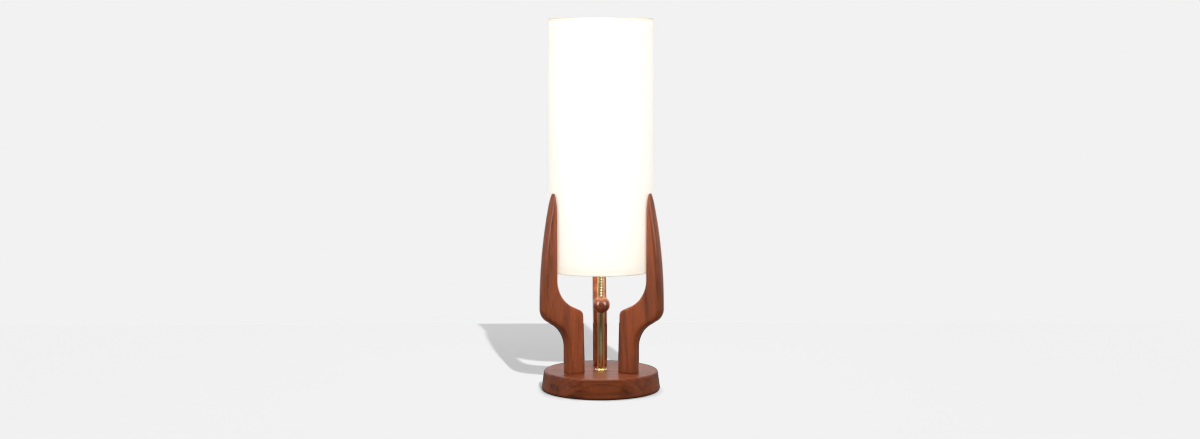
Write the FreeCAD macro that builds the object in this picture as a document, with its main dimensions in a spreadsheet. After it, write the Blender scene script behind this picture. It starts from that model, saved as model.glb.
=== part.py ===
import FreeCAD, Part

import math
import os

import Sketcher
from FreeCAD import Placement, Rotation, Vector

# A tripod table lamp. A turned wooden foot carries three bent wooden legs that stand round a drum shade.
# A brass pipe rises from the foot, holds the shade's wire fitter and carries a pull-chain lamp socket.
# Lengths are in millimetres. Z is up, the pipe stands on the Z axis, and the front is at -Y.

SIZES = [
    ("overall_height", 552.45),
    # Foot disc and its felt
    ("base_radius", 88.7),
    ("base_top_radius", 84.6),
    ("base_height", 30.1),
    ("base_low_round", 3.5),
    ("base_top_round", 2.6),
    ("felt_radius", 80.0),
    ("felt_thickness", 1.2),
    ("recess_radius", 24.0),
    ("recess_roof", 10.0),
    # Lead-in at the back of the foot
    ("inlet_azimuth", 60.0),
    ("inlet_level", 9.6),
    ("inlet_radius", 3.4),
    ("bushing_wall", 1.4),
    ("bushing_length", 14.0),
    ("bushing_sink", 1.3),
    ("bushing_flange", 1.6),
    ("bushing_flange_radius", 7.2),
    ("lead_radius", 1.3),
    ("lead_spacing", 3.0),
    ("lead_bend", 8.0),
    ("lead_top_bend", 4.0),
    # Legs: the profile stands in the leg's own radial plane, and the slab is as thick as leg_width
    ("leg_width", 20.4),
    ("foot_inner", 33.2),
    ("foot_outer", 60.6),
    ("knee_lean", 2.4),
    ("knee_level", 116.0),
    ("knee_round", 10.0),
    ("knee_run", 5.4),
    ("knee_rise", 8.2),
    ("shelf_radius", 53.2),
    ("shelf_level", 129.9),
    ("elbow_inner_round", 45.0),
    ("elbow_inner_level", 170.8),
    ("leg_inner", 79.5),
    ("leg_inner_top", 276.0),
    ("tip_level", 298.0),
    ("tip_lean", 1.3),
    ("tip_thickness", 2.0),
    ("tip_arch_level", 262.0),
    ("tip_flat", 1.2),
    ("leg_back_round", 707.0),
    ("leg_back_level", 130.0),
    ("elbow_outer_round", 22.0),
    ("elbow_outer_radius", 90.9),
    ("elbow_outer_level", 109.5),
    ("elbow_overhang", 11.0),
    ("ankle_run", 9.5),
    ("ankle_level", 104.0),
    ("ankle_round", 41.6),
    ("ankle_foot_level", 68.0),
    ("edge_outer_round", 5.5),
    ("edge_inner_round", 3.0),
    ("edge_tip_round", 0.8),
    ("leg_azimuth", 90.0),
    # Screws and dowels that hold each leg on the foot
    ("leg_screw_place", 47.0),
    ("leg_screw_radius", 2.1),
    ("leg_screw_head_radius", 4.2),
    ("leg_screw_head", 3.0),
    ("leg_screw_seat", 9.0),
    ("leg_screw_bite", 28.0),
    ("counterbore_radius", 5.2),
    ("dowel_radius", 3.0),
    ("dowel_spacing", 16.0),
    ("dowel_depth", 10.0),
    # Pipe and what is threaded on it
    ("pipe_radius", 5.1),
    ("pipe_bore", 3.4),
    ("pipe_tail", 6.5),
    ("check_ring_radius", 8.9),
    ("check_ring_height", 2.1),
    ("washer_radius", 14.0),
    ("washer_thickness", 1.5),
    ("nut_flats", 14.3),
    ("nut_height", 4.0),
    ("collar_radius", 8.2),
    ("collar_height", 6.0),
    # Shade and its wire frame
    ("fitter_level", 195.0),
    ("fitter_plate_radius", 14.0),
    ("fitter_plate", 1.5),
    ("fitter_arm_radius", 1.3),
    ("ring_wire", 1.4),
    ("shade_radius", 77.5),
    ("shade_low", 179.9),
    ("shade_wall", 0.9),
    ("trim_thickness", 0.35),
    ("trim_height", 4.0),
    # Socket
    ("neck_radius", 7.6),
    ("neck_height", 8.0),
    ("set_screw_radius", 1.5),
    ("set_screw_stand", 1.5),
    ("cap_radius", 17.0),
    ("cap_wall", 0.8),
    ("cap_dome", 9.0),
    ("cap_rim", 7.0),
    ("shell_wall", 0.6),
    ("shell_height", 45.0),
    ("liner_wall", 0.5),
    ("block_height", 16.0),
    ("contact_ring_radius", 13.1),
    ("contact_ring_wall", 0.4),
    ("contact_ring_height", 23.0),
    ("centre_contact_radius", 3.2),
    ("centre_contact_height", 2.2),
    ("terminal_place", 10.4),
    ("terminal_screw_radius", 1.6),
    ("terminal_head_radius", 2.9),
    ("terminal_head", 1.8),
    ("terminal_depth", 4.5),
    ("notch_width", 8.0),
    ("notch_height", 12.0),
    # Switch inside the socket
    ("slot_width", 2.6),
    ("slot_height", 11.0),
    ("lever_thickness", 1.6),
    ("lever_pin_place", 9.0),
    ("lever_pin_radius", 0.9),
    ("lever_pin_length", 12.0),
    ("lever_boss_radius", 2.6),
    ("lever_arm_height", 2.4),
    ("lever_tail", 4.4),
    ("eye_place", 23.5),
    ("eye_radius", 1.3),
    ("eye_boss_radius", 2.4),
    ("rotor_radius", 3.6),
    ("rotor_hub", 1.2),
    ("rotor_drop", 1.0),
    ("rotor_axle_length", 14.0),
    ("guard_height", 12.5),
    ("guard_width", 5.0),
    ("guard_wall", 0.6),
    ("guard_reach", 3.0),
    # Pull chain
    ("chain_ring_radius", 2.6),
    ("chain_ring_wire", 0.5),
    ("chain_loop_radius", 1.9),
    ("chain_loop_wire", 0.45),
    ("bead_radius", 1.6),
    ("bead_pitch", 3.98),
    ("bead_link", 0.45),
    ("upper_beads", 5.0),
    ("lower_beads", 13.0),
    ("coupling_wall", 0.45),
    ("ball_radius", 12.6),
    ("ball_centre", 131.6),
    ("ball_bore", 2.0),
    # Bulb
    ("bulb_radius", 30.0),
    ("bulb_neck", 12.4),
    ("bulb_wall", 0.7),
    ("bulb_length", 110.0),
    ("bulb_cap_height", 21.0),
    ("bulb_cap_wall", 0.5),
    ("bulb_tip_radius", 4.6),
    ("bulb_tip_height", 1.0),
    ("bulb_insulator_height", 3.0),
    ("mount_radius", 4.0),
    ("mount_height", 42.0),
    ("filament_radius", 0.9),
    ("filament_length", 32.0),
    ("filament_spread", 6.5),
    # Clearances
    ("glue_gap", 0.05),
    ("thread_gap", 0.1),
    ("pivot_gap", 0.06),
    ("ring_gap", 0.15),
]

ROOT_HALF = math.sqrt(0.5)
QUARTER_TAN = math.tan(math.radians(22.5))
# How far the chain coupling reaches past the middle of its end beads, in bead radii
COUPLING_LIP_SHARE = 0.4

document = FreeCAD.newDocument("TripodLamp")
sheet = document.addObject("Spreadsheet::Sheet", "Sizes")


class Size:
    """A length, with its number and the sheet formula that gives the same number."""

    def __init__(self, number, formula):
        self.number = number
        self.formula = formula

    def __add__(self, other):
        return joined(self, "+", other, lambda a, b: a + b)

    def __radd__(self, other):
        return joined(other, "+", self, lambda a, b: a + b)

    def __sub__(self, other):
        return joined(self, "-", other, lambda a, b: a - b)

    def __rsub__(self, other):
        return joined(other, "-", self, lambda a, b: a - b)

    def __mul__(self, other):
        return joined(self, "*", other, lambda a, b: a * b)

    def __rmul__(self, other):
        return joined(other, "*", self, lambda a, b: a * b)

    def __truediv__(self, other):
        return joined(self, "/", other, lambda a, b: a / b)

    def __neg__(self):
        return 0 - self


def as_size(value):
    """A plain number as a Size; a Size stays as it is."""
    if isinstance(value, Size):
        return value
    return Size(float(value), f"({float(value)!r})")


def joined(left, sign, right, operation):
    """Two sizes joined by an arithmetic sign, in number and in formula."""
    left, right = as_size(left), as_size(right)
    return Size(operation(left.number, right.number), f"({left.formula} {sign} {right.formula})")


class SizeBook:
    """Every row of the sheet as an attribute of the same name."""


size = SizeBook()
for row, (alias, number) in enumerate(SIZES, start=1):
    sheet.set(f"A{row}", alias)
    sheet.set(f"B{row}", str(number))
    sheet.setAlias(f"B{row}", alias)
    setattr(size, alias, Size(number, f"Sizes.{alias}"))
document.recompute()


# ---------------------------------------------------------------- drawing helpers

parts = {}


def keep(node, shape_object):
    """Names the object that is one finished sub-part."""
    shape_object.Label = node
    parts[node] = shape_object
    return shape_object


def tie(thing, **sizes):
    """Sets properties and ties them to the sheet; a double underscore stands for a dot."""
    for name, value in sizes.items():
        thing.setExpression(name.replace("__", "."), as_size(value).formula)


def tie_place(thing, x=0, y=0, z=0):
    """Ties where an object stands to the sheet."""
    tie(thing, Placement__Base__x=x, Placement__Base__y=y, Placement__Base__z=z)


def new_body(name):
    """An empty body."""
    return document.addObject("PartDesign::Body", name)


def plane_of(body, role):
    """One of the body's own origin planes."""
    return next(feature for feature in body.Origin.OriginFeatures if feature.Role == role)


def sketch_in(body, name, role="XZ_Plane"):
    """A sketch on one of the body's own origin planes."""
    sketch = body.newObject("Sketcher::SketchObject", name)
    sketch.AttachmentSupport = [(plane_of(body, role), "")]
    sketch.MapMode = "FlatFace"
    return sketch


def arc_between(start, end, radius):
    """The minor arc from start to end, turning left for a radius above 0 and right below it."""
    chord = end - start
    left = Vector(-chord.y, chord.x, 0).normalize()
    rise = math.sqrt(radius * radius - chord.Length**2 / 4)
    centre = start + chord * 0.5 + left * math.copysign(rise, radius)
    angles = [math.atan2((point - centre).y, (point - centre).x) for point in (start, end)]
    circle = Part.Circle(centre, Vector(0, 0, 1), abs(radius))
    if radius > 0:
        return Part.ArcOfCircle(circle, angles[0], angles[1])
    return Part.ArcOfCircle(circle, angles[1], angles[0])


def hold_point(sketch, geometry, end, x, y):
    """Dimensions one point of a sketch from its origin."""
    for value, kind, axis in ((x, "DistanceX", -2), (y, "DistanceY", -1)):
        value = as_size(value)
        if value.number == 0:
            sketch.addConstraint(Sketcher.Constraint("PointOnObject", geometry, end, axis))
            continue
        index = sketch.addConstraint(Sketcher.Constraint(kind, -1, 1, geometry, end, value.number))
        sketch.setExpression(f"Constraints[{index}]", value.formula)


def draw_outline(sketch, corners):
    """A closed loop through the corners. A corner with a third value starts an arc of that radius."""
    points = [Vector(as_size(corner[0]).number, as_size(corner[1]).number, 0) for corner in corners]
    ends = []
    for index, corner in enumerate(corners):
        start, end = points[index], points[(index + 1) % len(points)]
        if len(corner) == 2:
            geometry = sketch.addGeometry(Part.LineSegment(start, end))
            ends.append((geometry, 1, 2))
            continue
        radius = as_size(corner[2])
        geometry = sketch.addGeometry(arc_between(start, end, radius.number))
        ends.append((geometry, 1, 2) if radius.number > 0 else (geometry, 2, 1))
    for index, (geometry, first, last) in enumerate(ends):
        following, following_first, _ = ends[(index + 1) % len(ends)]
        sketch.addConstraint(
            Sketcher.Constraint("Coincident", geometry, last, following, following_first)
        )
        corner = corners[index]
        hold_point(sketch, geometry, first, corner[0], corner[1])
        if len(corner) == 3:
            radius = as_size(corner[2])
            turn = 1 if radius.number > 0 else -1
            index = sketch.addConstraint(
                Sketcher.Constraint("Radius", geometry, abs(radius.number))
            )
            sketch.setExpression(f"Constraints[{index}]", (turn * radius).formula)


def draw_circle(sketch, x, y, radius):
    """A dimensioned circle."""
    centre = Vector(as_size(x).number, as_size(y).number, 0)
    circle = Part.Circle(centre, Vector(0, 0, 1), as_size(radius).number)
    geometry = sketch.addGeometry(circle)
    hold_point(sketch, geometry, 3, x, y)
    index = sketch.addConstraint(Sketcher.Constraint("Radius", geometry, as_size(radius).number))
    sketch.setExpression(f"Constraints[{index}]", as_size(radius).formula)


def turned_body(name, corners, axis="V_Axis"):
    """A body turned about Z, or about X for H_Axis, from its half section."""
    body = new_body(name)
    sketch = sketch_in(body, f"{name}_section")
    draw_outline(sketch, corners)
    turning = body.newObject("PartDesign::Revolution", f"{name}_turning")
    turning.Profile = sketch
    turning.ReferenceAxis = (sketch, [axis])
    turning.Angle = 360
    return body


def ring_section(inner, outer, low, high):
    """The half section of a plain ring or, with an inner radius of 0, of a disc."""
    return [(inner, low), (outer, low), (outer, high), (inner, high)]


def ring_body(name, inner, outer, low, high):
    """A plain ring or disc about Z."""
    return turned_body(name, ring_section(inner, outer, low, high))


def pocket_upward(body, sketch, name, length):
    """Cuts a level sketch out of a body from its own level up, and fails if nothing was cut."""
    document.recompute()
    before = body.Shape.Volume
    cut = body.newObject("PartDesign::Pocket", name)
    cut.Profile = sketch
    cut.Type = "Length"
    tie(cut, Length=length)
    cut.Reversed = True
    document.recompute()
    if not body.Shape.Volume < before - 0.1:
        raise ValueError(f"{name} cuts nothing")
    return cut


def cylinder(name, radius, length, x=0, y=0, z=0, axis=Vector(0, 0, 1)):
    """A round bar that starts at a point and runs along an axis."""
    bar = document.addObject("Part::Cylinder", name)
    bar.Placement = Placement(Vector(), Rotation(Vector(0, 0, 1), axis))
    tie(bar, Radius=radius, Height=length)
    tie_place(bar, x, y, z)
    return bar


def block(name, low, high):
    """A box between two corners."""
    box = document.addObject("Part::Box", name)
    tie(box, Length=high[0] - low[0], Width=high[1] - low[1], Height=high[2] - low[2])
    tie_place(box, *low)
    return box


def fused(name, *pieces):
    """Several solids as one."""
    union = document.addObject("Part::MultiFuse", name)
    union.Shapes = list(pieces)
    return union


def cut_from(name, solid, *tools):
    """A solid with the tools taken out of it."""
    cut = document.addObject("Part::Cut", name)
    cut.Base = solid
    cut.Tool = tools[0] if len(tools) == 1 else fused(f"{name}_tools", *tools)
    return cut


def turn_to(thing, azimuth, z=0):
    """Turns a finished object about Z by an angle in degrees, and lifts it to a height."""
    thing.Placement = Placement(Vector(), Rotation(Vector(0, 0, 1), 1))
    tie(thing, Placement__Rotation__Angle=azimuth)
    tie_place(thing, z=z)
    return thing


def made(node, shape):
    """A sub-part whose shape is worked out in code."""
    feature = document.addObject("Part::Feature", node)
    feature.Shape = shape
    return keep(node, feature)


def rounded_path(points, radii):
    """Straight runs between points, joined by tangent arcs at the inner points."""
    edges = []
    start = points[0]
    for before, corner, after, radius in zip(points, points[1:], points[2:], radii):
        back = (before - corner).normalize()
        ahead = (after - corner).normalize()
        half = back.getAngle(ahead) / 2
        reach = radius / math.tan(half)
        middle = (back + ahead).normalize() * (radius / math.sin(half) - radius)
        first, last = corner + back * reach, corner + ahead * reach
        edges.append(Part.LineSegment(start, first).toShape())
        edges.append(Part.Arc(first, corner + middle, last).toShape())
        start = last
    edges.append(Part.LineSegment(start, points[-1]).toShape())
    return Part.Wire(edges)


def tube_along(path, radius):
    """A round tube along a path of lines and tangent arcs."""
    start = path.OrderedVertexes[0].Point
    heading = path.OrderedEdges[0].tangentAt(path.OrderedEdges[0].FirstParameter)
    rim = Part.Wire([Part.Circle(start, heading, radius).toShape()])
    tube = path.makePipeShell([rim], True, False)
    length = sum(edge.Length for edge in path.Edges)
    expected = math.pi * radius**2 * length
    if abs(tube.Volume - expected) > 0.02 * expected:
        raise ValueError("a tube's volume differs from its section times its length")
    return tube


# ---------------------------------------------------------------- levels that several pieces share

base_underside = size.felt_thickness
recess_level = size.base_height - size.recess_roof
washer_low = recess_level - size.washer_thickness
nut_low = washer_low - size.nut_height
pipe_low = recess_level - size.pipe_tail
pipe_hole = size.pipe_radius + size.thread_gap
plate_top = size.fitter_level + size.fitter_plate
neck_top = plate_top + size.neck_height
pipe_top = neck_top - 0.5
cap_shoulder = neck_top + size.cap_dome
cap_top = cap_shoulder + size.cap_rim
block_low = cap_shoulder + 0.6
block_high = block_low + size.block_height
shell_outer = size.cap_radius - size.cap_wall - size.thread_gap
shell_inner = shell_outer - size.shell_wall
liner_outer = shell_inner - size.glue_gap
liner_inner = liner_outer - size.liner_wall
block_radius = liner_inner - size.glue_gap
lever_level = block_low + size.block_height / 2
shade_cloth_radius = size.shade_radius - size.trim_thickness
shade_inner = shade_cloth_radius - size.shade_wall
frame_radius = shade_inner - size.ring_wire - size.glue_gap
low_ring_level = size.shade_low + size.trim_thickness + size.ring_wire + size.glue_gap
top_ring_level = size.overall_height - size.trim_thickness - size.ring_wire - size.glue_gap
leg_azimuths = {
    "leg_rear": size.leg_azimuth,
    "leg_left": size.leg_azimuth + 120,
    "leg_right": size.leg_azimuth + 240,
}
inlet_outer = size.inlet_radius + size.bushing_wall
flange_rise = (size.inlet_level + size.bushing_flange_radius - base_underside) / (
    size.base_height - base_underside
)
side_lean = size.base_radius - size.base_top_radius
bushing_outside = size.base_radius - side_lean * flange_rise - size.bushing_sink
bushing_inside = bushing_outside - size.bushing_length
eye_level = lever_level
swing_level = eye_level - 2 * size.chain_ring_radius
loop_top = swing_level + size.chain_ring_wire + size.chain_loop_wire + size.ring_gap
upper_first = loop_top - 2 * size.chain_loop_radius - size.bead_radius
upper_last = upper_first - size.bead_pitch * (size.upper_beads - 1)
lower_first = upper_last - 2 * size.bead_pitch
lower_last = lower_first - size.bead_pitch * (size.lower_beads - 1)
bulb_tip = block_high + size.centre_contact_height + size.glue_gap
bulb_cap_low = bulb_tip + size.bulb_tip_height + size.bulb_insulator_height
bulb_cap_top = bulb_cap_low + size.bulb_cap_height
bulb_centre = bulb_tip + size.bulb_length - size.bulb_radius
terminal_level = block_low + size.block_height / 3
lead_end_level = terminal_level - size.terminal_head_radius - size.glue_gap
X_AXIS = Vector(1, 0, 0)
Z_AXIS = Vector(0, 0, 1)


# ---------------------------------------------------------------- foot


def circle_edge(shape, level):
    """The name of the widest circular edge at a level."""
    found = [
        (edge.Curve.Radius, f"Edge{number}")
        for number, edge in enumerate(shape.Edges, start=1)
        if isinstance(edge.Curve, Part.Circle) and abs(edge.CenterOfMass.z - level.number) < 0.01
    ]
    return max(found)[1]


def make_base():
    """The turned disc, with its pipe hole, nut recess, leg holes and lead channel."""
    body = turned_body(
        "base_body",
        [
            (pipe_hole, recess_level),
            (size.recess_radius, recess_level),
            (size.recess_radius, base_underside),
            (size.base_radius, base_underside),
            (size.base_top_radius, size.base_height),
            (pipe_hole, size.base_height),
        ],
    )
    for name, level, radius in (
        ("low_edge", base_underside, size.base_low_round),
        ("top_edge", size.base_height, size.base_top_round),
    ):
        document.recompute()
        edge = circle_edge(body.Shape, level)
        last = body.Tip
        rounding = body.newObject("PartDesign::Fillet", name)
        rounding.Base = (last, [edge])
        tie(rounding, Radius=radius)

    counterbore = sketch_in(body, "counterbore_circle", "XY_Plane")
    draw_circle(counterbore, 0, size.leg_screw_place, size.counterbore_radius)
    screw_hole = sketch_in(body, "screw_hole_circle", "XY_Plane")
    draw_circle(screw_hole, 0, size.leg_screw_place, size.leg_screw_radius + size.thread_gap)
    dowel_holes = sketch_in(body, "dowel_hole_circles", "XY_Plane")
    tie(dowel_holes, AttachmentOffset__Base__z=size.base_height - size.dowel_depth)
    for side in (-1, 1):
        place = size.leg_screw_place + side * size.dowel_spacing / 2
        draw_circle(dowel_holes, 0, place, size.dowel_radius + size.glue_gap)
    cuts = [
        pocket_upward(body, counterbore, "counterbore", size.leg_screw_seat),
        pocket_upward(body, screw_hole, "screw_hole", size.base_height + 1),
        pocket_upward(body, dowel_holes, "dowel_hole", size.dowel_depth + 1),
    ]
    pattern = body.newObject("PartDesign::PolarPattern", "leg_holes")
    pattern.Originals = cuts
    pattern.Axis = (plane_of(body, "Z_Axis"), [""])
    pattern.Angle = 360
    pattern.Occurrences = 3
    body.Tip = pattern

    channel = cylinder(
        "lead_channel",
        inlet_outer,
        size.base_radius,
        x=size.recess_radius / 2,
        z=size.inlet_level,
        axis=X_AXIS,
    )
    flange_seat = cylinder(
        "flange_seat",
        size.bushing_flange_radius + size.thread_gap,
        size.base_radius,
        x=bushing_outside - size.bushing_flange,
        z=size.inlet_level,
        axis=X_AXIS,
    )
    lead_way = turn_to(fused("lead_way", channel, flange_seat), size.inlet_azimuth)
    keep("base", cut_from("base", body, lead_way))


def make_felt():
    """The felt disc glued under the foot."""
    keep("base_felt", ring_body("felt", 0, size.felt_radius, 0, size.felt_thickness))


def make_bushing():
    """The flanged bushing that lines the lead's way in at the back of the foot."""
    sleeve = inlet_outer - size.glue_gap
    flange_low = bushing_outside - size.bushing_flange
    bushing = turned_body(
        "bushing",
        [
            (bushing_inside, size.inlet_radius),
            (bushing_outside, size.inlet_radius),
            (bushing_outside, size.bushing_flange_radius),
            (flange_low, size.bushing_flange_radius),
            (flange_low, sleeve),
            (bushing_inside, sleeve),
        ],
        axis="H_Axis",
    )
    keep("cord_bushing", turn_to(bushing, size.inlet_azimuth, z=size.inlet_level))


# ---------------------------------------------------------------- legs


def leg_outline():
    """The leg's side view: radius from the pipe and height, from the foot's inner heel round."""
    tip_inner = size.leg_inner + size.tip_lean
    leg_outer = size.elbow_outer_radius + size.elbow_overhang
    return [
        (size.foot_inner, size.base_height),
        (size.foot_inner + size.knee_lean, size.knee_level, -size.knee_round),
        (
            size.foot_inner + size.knee_lean + size.knee_run,
            size.knee_level + size.knee_rise,
        ),
        (size.shelf_radius, size.shelf_level, size.elbow_inner_round),
        (size.leg_inner, size.elbow_inner_level),
        (size.leg_inner + 0.1, size.leg_inner_top),
        (tip_inner, size.tip_level, -size.tip_thickness / 1.6),
        (tip_inner + size.tip_thickness, size.tip_level, -size.leg_back_round),
        (leg_outer, size.leg_back_level, -size.elbow_outer_round),
        (size.elbow_outer_radius, size.elbow_outer_level),
        (size.elbow_outer_radius - size.ankle_run, size.ankle_level, size.ankle_round),
        (size.foot_outer, size.ankle_foot_level),
        (size.foot_outer, size.base_height),
    ]


def side_edges(slab):
    """Each long edge of a leg's slab with its rounding radius at both ends."""
    half = size.leg_width.number / 2
    middle = (size.foot_inner.number + size.foot_outer.number) / 2
    thin_from = size.leg_inner_top.number
    tip = size.tip_level.number
    rounded = []
    for number, edge in enumerate(slab.Edges, start=1):
        centre = edge.CenterOfMass
        if abs(abs(centre.y) - half) > 0.01:
            continue
        if abs(centre.z - size.base_height.number) < 0.1 or centre.z > tip - 0.5:
            continue
        lowest = min(vertex.Z for vertex in edge.Vertexes)
        low_outer = centre.x > middle and lowest < size.ankle_level.number - 1
        high_outer = centre.x > size.leg_inner.number + 1.5
        full = size.edge_outer_round if low_outer or high_outer else size.edge_inner_round
        ends = [
            size.edge_tip_round.number if vertex.Z > tip - 0.5 else full.number
            for vertex in (edge.Vertexes[0], edge.Vertexes[-1])
        ]
        rounded.append((number, *ends))
    return rounded


def tip_arch(node):
    """A bar along the leg's radius whose outline, seen from the pipe, narrows to a pointed arch."""
    half = size.leg_width / 2
    narrowing = half - size.tip_flat
    rise = size.tip_level + 1 - size.tip_arch_level
    arch_round = (narrowing * narrowing + rise * rise) / (2 * narrowing)
    sketch = document.addObject("Sketcher::SketchObject", f"{node}_arch_outline")
    sketch.Placement = Placement(Vector(), Rotation(Vector(1, 1, 1), 120))
    draw_outline(
        sketch,
        [
            (-half - 1, size.base_height - 1),
            (half + 1, size.base_height - 1),
            (half + 1, size.tip_arch_level),
            (half, size.tip_arch_level, arch_round),
            (size.tip_flat, size.tip_level + 1),
            (-size.tip_flat, size.tip_level + 1, arch_round),
            (-half, size.tip_arch_level),
            (-half - 1, size.tip_arch_level),
        ],
    )
    bar = document.addObject("Part::Extrusion", f"{node}_arch")
    bar.Base = sketch
    bar.DirMode = "Normal"
    bar.Solid = True
    tie(bar, LengthFwd=size.elbow_outer_radius + size.elbow_overhang + 1)
    return bar


def make_leg(node, azimuth):
    """One bent leg, its long edges rounded, with holes for its screw and dowels."""
    sketch = document.addObject("Sketcher::SketchObject", f"{node}_outline")
    sketch.Placement = Placement(Vector(), Rotation(X_AXIS, 90))
    draw_outline(sketch, leg_outline())
    slab = document.addObject("Part::Extrusion", f"{node}_slab")
    slab.Base = sketch
    slab.DirMode = "Normal"
    slab.Solid = True
    slab.Symmetric = True
    tie(slab, LengthFwd=size.leg_width)
    document.recompute()
    rounding = document.addObject("Part::Fillet", f"{node}_rounding")
    rounding.Base = slab
    rounding.Edges = side_edges(slab.Shape)
    pointed = document.addObject("Part::MultiCommon", f"{node}_pointed")
    pointed.Shapes = [rounding, tip_arch(node)]

    screw = cylinder(
        f"{node}_screw_hole",
        size.leg_screw_radius + size.glue_gap,
        size.leg_screw_bite + 1,
        x=size.leg_screw_place,
        z=size.base_height - 1,
    )
    dowels = [
        cylinder(
            f"{node}_dowel_hole_{index}",
            size.dowel_radius + size.glue_gap,
            size.dowel_depth + 1,
            x=size.leg_screw_place + side * size.dowel_spacing / 2,
            z=size.base_height - 1,
        )
        for index, side in enumerate((-1, 1))
    ]
    leg = cut_from(node, pointed, screw, *dowels)
    keep(node, turn_to(leg, azimuth))


def around(shape):
    """Three copies of a shape, turned to the legs' azimuths, as one group of separate solids."""
    copies = []
    for azimuth in leg_azimuths.values():
        copy = shape.copy()
        copy.rotate(Vector(), Z_AXIS, azimuth.number)
        copies.append(copy)
    return Part.makeCompound(copies)


def make_leg_fasteners():
    """A wood screw and two dowels for each leg."""
    seat = size.leg_screw_seat.number
    place = Vector(size.leg_screw_place.number, 0, 0)
    end = size.base_height.number + size.leg_screw_bite.number - 1
    radius = size.leg_screw_radius.number
    head = Part.makeCone(
        size.leg_screw_head_radius.number * 0.8,
        size.leg_screw_head_radius.number,
        size.leg_screw_head.number,
        place + Vector(0, 0, seat - size.leg_screw_head.number),
    )
    shank = Part.makeCylinder(radius, end - radius - seat, place + Vector(0, 0, seat))
    point = Part.makeCone(radius, 0.3, radius, place + Vector(0, 0, end - radius))
    slot_depth = size.leg_screw_head.number * 0.4
    slot = Part.makeBox(
        size.leg_screw_head_radius.number * 2,
        radius * 0.5,
        slot_depth,
        place
        + Vector(
            -size.leg_screw_head_radius.number,
            -radius * 0.25,
            seat - size.leg_screw_head.number,
        ),
    )
    made("leg_screws", around(head.fuse([shank, point]).cut(slot)))

    depth = size.dowel_depth.number
    dowels = [
        Part.makeCylinder(
            size.dowel_radius.number,
            2 * depth - 1,
            place
            + Vector(side * size.dowel_spacing.number / 2, 0, size.base_height.number - depth + 0.5),
        )
        for side in (-1, 1)
    ]
    made("leg_dowels", around(Part.makeCompound(dowels)))


# ---------------------------------------------------------------- pipe


def make_pipe():
    """The threaded brass pipe and the ring, washer, nut and collar on it."""
    keep("stem", ring_body("pipe", size.pipe_bore, size.pipe_radius, pipe_low, pipe_top))
    ring_top = size.base_height + size.check_ring_height
    keep(
        "stem_check_ring",
        turned_body(
            "check_ring",
            [
                (pipe_hole, size.base_height),
                (size.check_ring_radius, size.base_height),
                (size.check_ring_radius, size.base_height + size.check_ring_height / 2),
                (size.check_ring_radius - size.check_ring_height / 2, ring_top),
                (pipe_hole, ring_top),
            ],
        ),
    )
    keep("stem_washer", ring_body("washer", pipe_hole, size.washer_radius, washer_low, recess_level))
    collar_low = size.fitter_level - size.collar_height
    keep(
        "fitter_collar",
        ring_body("collar", pipe_hole, size.collar_radius, collar_low, size.fitter_level),
    )

    prism = document.addObject("Part::Prism", "nut_prism")
    prism.Polygon = 6
    tie(prism, Circumradius=size.nut_flats / math.sqrt(3), Height=size.nut_height)
    tie_place(prism, z=nut_low)
    hole = cylinder("nut_hole", pipe_hole, size.nut_height + 2, z=nut_low - 1)
    keep("stem_nut", cut_from("stem_nut", prism, hole))


def make_leads():
    """The two insulated lead conductors, from the bushing up the pipe to the terminals."""
    side = size.lead_spacing.number / 2
    level = size.inlet_level.number
    rise = pipe_top.number + 1.5
    terminal = (size.terminal_place + size.terminal_head / 2).number + 0.5
    spread = cap_shoulder.number - 2.4
    end = lead_end_level.number
    bends = [
        size.lead_bend.number,
        size.lead_top_bend.number,
        size.lead_top_bend.number * 0.7,
    ]
    for name, sign in (("lead_wire_live", 1), ("lead_wire_neutral", -1)):
        points = [
            Vector(bushing_inside.number, sign * side, level),
            Vector(0, sign * side, level),
            Vector(0, sign * side, rise),
            Vector(0, sign * terminal, spread),
            Vector(0, sign * terminal, end),
        ]
        wire = tube_along(rounded_path(points, bends), size.lead_radius.number)
        turn_to(made(name, wire), size.inlet_azimuth)


# ---------------------------------------------------------------- shade


def make_fitter():
    """The clamped plate, its three arms and the shade's bottom ring, brazed into one piece."""
    plate = ring_body(
        "fitter_plate_ring", pipe_hole, size.fitter_plate_radius, size.fitter_level, plate_top
    )
    ring = document.addObject("Part::Torus", "fitter_ring")
    tie(ring, Radius1=frame_radius, Radius2=size.ring_wire)
    tie_place(ring, z=low_ring_level)
    inner = size.fitter_plate_radius - 2 * size.fitter_arm_radius
    drop = (size.fitter_level + size.fitter_plate / 2 - low_ring_level).number
    run = (frame_radius - inner).number
    arms = []
    for node, azimuth in leg_azimuths.items():
        arm = cylinder(
            f"fitter_arm_{node}",
            size.fitter_arm_radius,
            math.hypot(run, drop),
            x=inner,
            z=size.fitter_level + size.fitter_plate / 2,
            axis=Vector(run, 0, -drop),
        )
        arms.append(turn_to(fused(f"fitter_arm_{node}_turned", arm, arm_foot(node, inner)), azimuth))
    keep("shade_fitter", fused("shade_fitter", plate, ring, *arms))


def arm_foot(node, inner):
    """The flattened end of a fitter arm, brazed on the plate."""
    return block(
        f"fitter_foot_{node}",
        (
            inner - size.fitter_arm_radius,
            -size.fitter_arm_radius,
            size.fitter_level,
        ),
        (
            size.fitter_plate_radius + 1,
            size.fitter_arm_radius,
            plate_top + 0.4,
        ),
    )


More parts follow.
